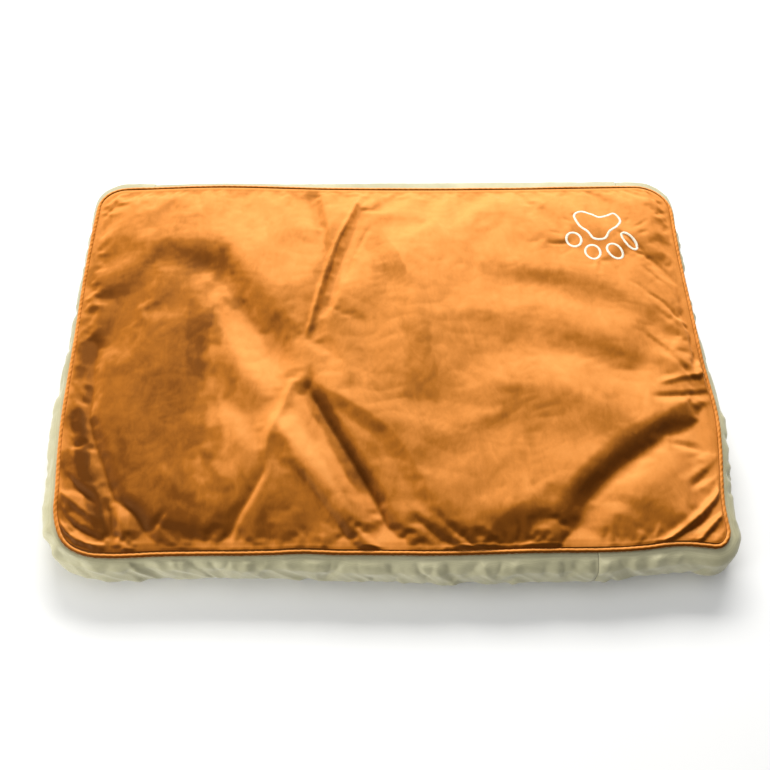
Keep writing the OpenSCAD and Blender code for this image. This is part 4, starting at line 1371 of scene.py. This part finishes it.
def pad_top_points():
    a = np.linspace(0, math.pi / 2, 13)
    rows = pad_side(a, PAD_ROOF - 3 * MM)
    rows += [(FLANGE + 2 * MM, PAD_ROOF + 1 * MM, s) for s in np.linspace(0.985, 0.02, 44)]
    grid = pad_rings(rows)
    for i in range(len(a), len(grid)):
        for j in range(grid.shape[1]):
            x, y, _ = grid[i, j]
            share = smooth((i - len(a)) / 3)
            rise = under_top(x, y) - PANEL_T - 1.4 * MM - PAD_ROOF - 1 * MM
            grid[i, j, 2] = PAD_ROOF + 1 * MM + share * rise
    lump = noise(grid[..., 0], grid[..., 1], 24, 15)
    grid[..., 2] -= (0.7 + 0.6 * lump) * MM
    return grid


def pad_foot_points():
    a = np.linspace(0, math.pi / 2, 11)
    rows = pad_side(a, PAD_FOOT)
    rows += [(FLANGE, PAD_FOOT, s) for s in np.linspace(0.96, 0.02, 26)]
    grid = pad_rings(rows)
    gather = noise(SEAM_AT[pad_ring][None] + 0 * grid[..., 2], grid[..., 2], 40, 16)
    grid[:11, :, 2] += 0.6 * MM * gather[:11] * np.sin(a)[:, None] * np.cos(a)[:, None]
    return grid


def capped(name, outer, inner, material):
    """A closed cloth between two stacks of rings, each closed at its middle."""
    n, m = outer.shape[:2]
    both = np.concatenate([outer.reshape(-1, 3), inner.reshape(-1, 3),
                           [outer[-1].mean(axis=0), inner[-1].mean(axis=0)]])
    k = np.arange(m)
    k1 = (k + 1) % m
    last, half = (n - 1) * m, n * m
    faces = [grid_faces(n, m, 0, wrap_v=True), grid_faces(n, m, half, wrap_v=True, flip=True),
             np.stack([k, k1, k1 + half, k + half], axis=1)]
    fans = [fan(m, last, 2 * half), fan(m, half + last, 2 * half + 1, flip=True)]
    return facing_out(mesh_object(name, both, faces + [np.concatenate(fans)], material))


def stacked(name, top_rings, foot_rings, material):
    """A closed solid between a stack of rings over a stack of rings that share their first ring."""
    n, m = top_rings.shape[:2]
    f = foot_rings.shape[0]
    points = np.concatenate([top_rings.reshape(-1, 3), foot_rings[1:].reshape(-1, 3),
                             [top_rings[-1].mean(axis=0), foot_rings[-1].mean(axis=0)]])
    k = np.arange(m)
    k1 = (k + 1) % m
    start, hub = n * m, n * m + (f - 1) * m
    faces = [grid_faces(n, m, 0, wrap_v=True), grid_faces(f - 1, m, start, wrap_v=True, flip=True),
             np.stack([k, k1, k1 + start, k + start], axis=1)]
    fans = [fan(m, (n - 1) * m, hub), fan(m, hub - m, hub + 1, flip=True)]
    return facing_out(mesh_object(name, points, faces + [np.concatenate(fans)], material))


CASE_T = 0.6 * MM
FIBRE_INSET = 1.0 * MM


def shrunk(grid, by, way):
    """The same rings, moved in by a distance: way is -1 under a top and 1 over a foot."""
    inner = grid.copy()
    toward = grid[..., :2].copy()
    toward /= np.maximum(np.linalg.norm(toward, axis=2, keepdims=True), 1e-6)
    steep = smooth(1 - np.arange(len(grid)) / 12)[:, None, None]
    inner[..., :2] -= toward * by * 1.3 * steep
    inner[..., 2] += way * by * (1 - steep[..., 0] * 0.95)
    return inner


pad_top, pad_foot = pad_top_points(), pad_foot_points()
case_top = declare(capped("pad_case_upper", pad_top, shrunk(pad_top, CASE_T, -1), NONWOVEN),
                   "pad_case_top")
pad_foot_low = pad_foot.copy()
pad_foot_low[0, :, 2] -= 0.06 * MM
case_foot = declare(capped("pad_case_lower", pad_foot_low, shrunk(pad_foot_low, CASE_T, 1), NONWOVEN),
                    "pad_case_base")
fibre = stacked("fibre_pad", shrunk(pad_top, FIBRE_INSET, -1), shrunk(pad_foot, FIBRE_INSET, 1), FIBRE)
declare(fibre, "fibre_filling")


def make_backing():
    """The stabiliser behind the paw, torn off unevenly."""
    lo, hi = (np.array(c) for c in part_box("embroidery_backing"))
    nu, nv = 60, 54
    u, v = np.meshgrid(np.linspace(-1, 1, nu), np.linspace(-1, 1, nv), indexing="ij")
    ragged = 1 - 0.025 * abs(noise(u * 0.1, v * 0.1, 60, 18))
    centre, half = (lo + hi) / 2, (hi - lo) / 2
    x = centre[0] + u * half[0] * ragged
    y = centre[1] + v * half[1] * ragged
    z = np.array([[top_at(a, b)[0] for a, b in zip(ra, rb)] for ra, rb in zip(x, y)]) - PANEL_T - 0.45 * MM
    outer = np.stack([x, y, z], axis=2)
    return shell("paw_backing", outer, outer - np.array([0, 0, 0.3 * MM]), BACKING)


backing = declare(make_backing(), "embroidery_backing")


def make_base():
    """The base cloth, flat on the floor, with its four corners as round as the piping's."""
    nu, nv = 161, 111
    place = coons(SEAM, SEAM_CORNERS, nu, nv)
    lower = np.dstack([place, np.zeros((nu, nv))])
    ripple = 0.05 * MM * noise(place[..., 0], place[..., 1], 30, 19)
    upper = np.dstack([place, np.full((nu, nv), GUSSET_T - 0.06 * MM) + ripple])
    return shell("base_cloth", upper, lower, BASE)


base = declare(make_base(), "base_panel")


gusset_tree = BVHTree.FromObject(band_left, bpy.context.evaluated_depsgraph_get())


def rearmost_gusset(x, heights):
    """How far back the left gusset band reaches at x, over some heights."""
    hits = [gusset_tree.ray_cast(Vector((x, 2 * HALF_D, z)), Vector((0, -1, 0)))[0] for z in heights]
    return max([label_lo[1]] + [hit.y for hit in hits if hit])


def make_label():
    """A blank ribbon, folded in two and caught in the seam; its fold lifts off the gusset."""
    lo, hi = label_lo, label_hi
    length, thick = hi[0] - lo[0], 0.3 * MM
    t = np.linspace(0, 1, 24)
    lift = 3.2 * MM * smooth(t)
    root = np.array([rearmost_gusset(x, np.linspace(lo[2], hi[2], 9)) for x in hi[0] - t * length])
    out_ply = np.stack([hi[0] - t * length, root + 0.75 * MM + lift], axis=1)
    in_ply = np.stack([hi[0] - t * length, root + 0.28 * MM + lift * 0.9], axis=1)
    fold = out_ply[-1] + (in_ply[-1] - out_ply[-1]) / 2
    r = np.linalg.norm(in_ply[-1] - out_ply[-1]) / 2
    bend = np.linspace(math.pi / 2, 3 * math.pi / 2, 9)[1:-1]
    arc = fold + r * np.stack([np.cos(bend), np.sin(bend)], axis=1)
    path = np.concatenate([out_ply, arc, in_ply[::-1]])
    z = np.linspace(lo[2], hi[2], 13)
    curl = 0.25 * MM * np.cos(np.linspace(-1.5, 1.5, 13) * 2)
    faces = []
    for line in two_faces(path, thick):
        x = np.repeat(line[:, 0:1], 13, axis=1)
        y = np.repeat(line[:, 1:2], 13, axis=1) + curl[None] * smooth((hi[0] - x) / length)
        faces.append(np.stack([x, y, np.repeat(z[None], len(line), axis=0)], axis=2))
    return shell("care_ribbon", faces[0], faces[1], RIBBON)


label = declare(make_label(), "care_label")


# ---------- floor, lights and camera ----------

def make_floor():
    bm = bmesh.new()
    bmesh.ops.create_grid(bm, x_segments=8, y_segments=8, size=16)
    mesh = bpy.data.meshes.new("floor")
    bm.to_mesh(mesh)
    bm.free()
    mesh.materials.append(floor_material())
    obj = placed("floor", mesh)
    obj.location = (0, 0, -0.4 * MM)


def area_light(name, place, aim, size, watts, colour=(1, 1, 1)):
    data = bpy.data.lights.new(name, "AREA")
    data.shape = "RECTANGLE"
    data.size, data.size_y = size
    data.energy = watts
    data.color = colour
    obj = placed(name, data)
    obj.location = place
    obj.rotation_euler = (Vector(aim) - Vector(place)).to_track_quat("-Z", "Y").to_euler()


def make_lights():
    area_light("window", (0.15, 1.85, 1.75), (0, 0, 0.05), (2.4, 0.9), 96, (1, 0.985, 0.96))
    area_light("overhead", (0.1, 0.3, 2.5), (0, 0, 0), (1.6, 1.2), 12)
    area_light("raking", (-1.7, -0.95, 0.4), (-0.1, -0.36, 0.04), (0.7, 0.6), 26, (1, 0.99, 0.96))
    world = bpy.data.worlds.new("studio")
    bpy.context.scene.world = world
    world.use_nodes = True
    background = world.node_tree.nodes["Background"]
    background.inputs["Color"].default_value = (0.96, 0.98, 1, 1)
    background.inputs["Strength"].default_value = 0.36


ELEVATION = math.radians(59.26)
CAMERA_FROM = 1.562
CAMERA_AIM = Vector((-0.0045, -0.0434, 0.040))
CAMERA_TURN = math.radians(-0.54)


def make_camera():
    data = bpy.data.cameras.new("camera")
    data.lens = 47.82
    data.sensor_width = 36
    camera = placed("camera", data)
    way = Vector((-math.sin(CAMERA_TURN) * math.cos(ELEVATION), math.cos(CAMERA_TURN) * math.cos(ELEVATION),
                  -math.sin(ELEVATION)))
    camera.location = CAMERA_AIM - way * CAMERA_FROM
    camera.rotation_euler = way.to_track_quat("-Z", "Y").to_euler()
    bpy.context.scene.camera = camera


make_floor()
make_lights()
make_camera()
bpy.context.scene.view_settings.view_transform = "Standard"
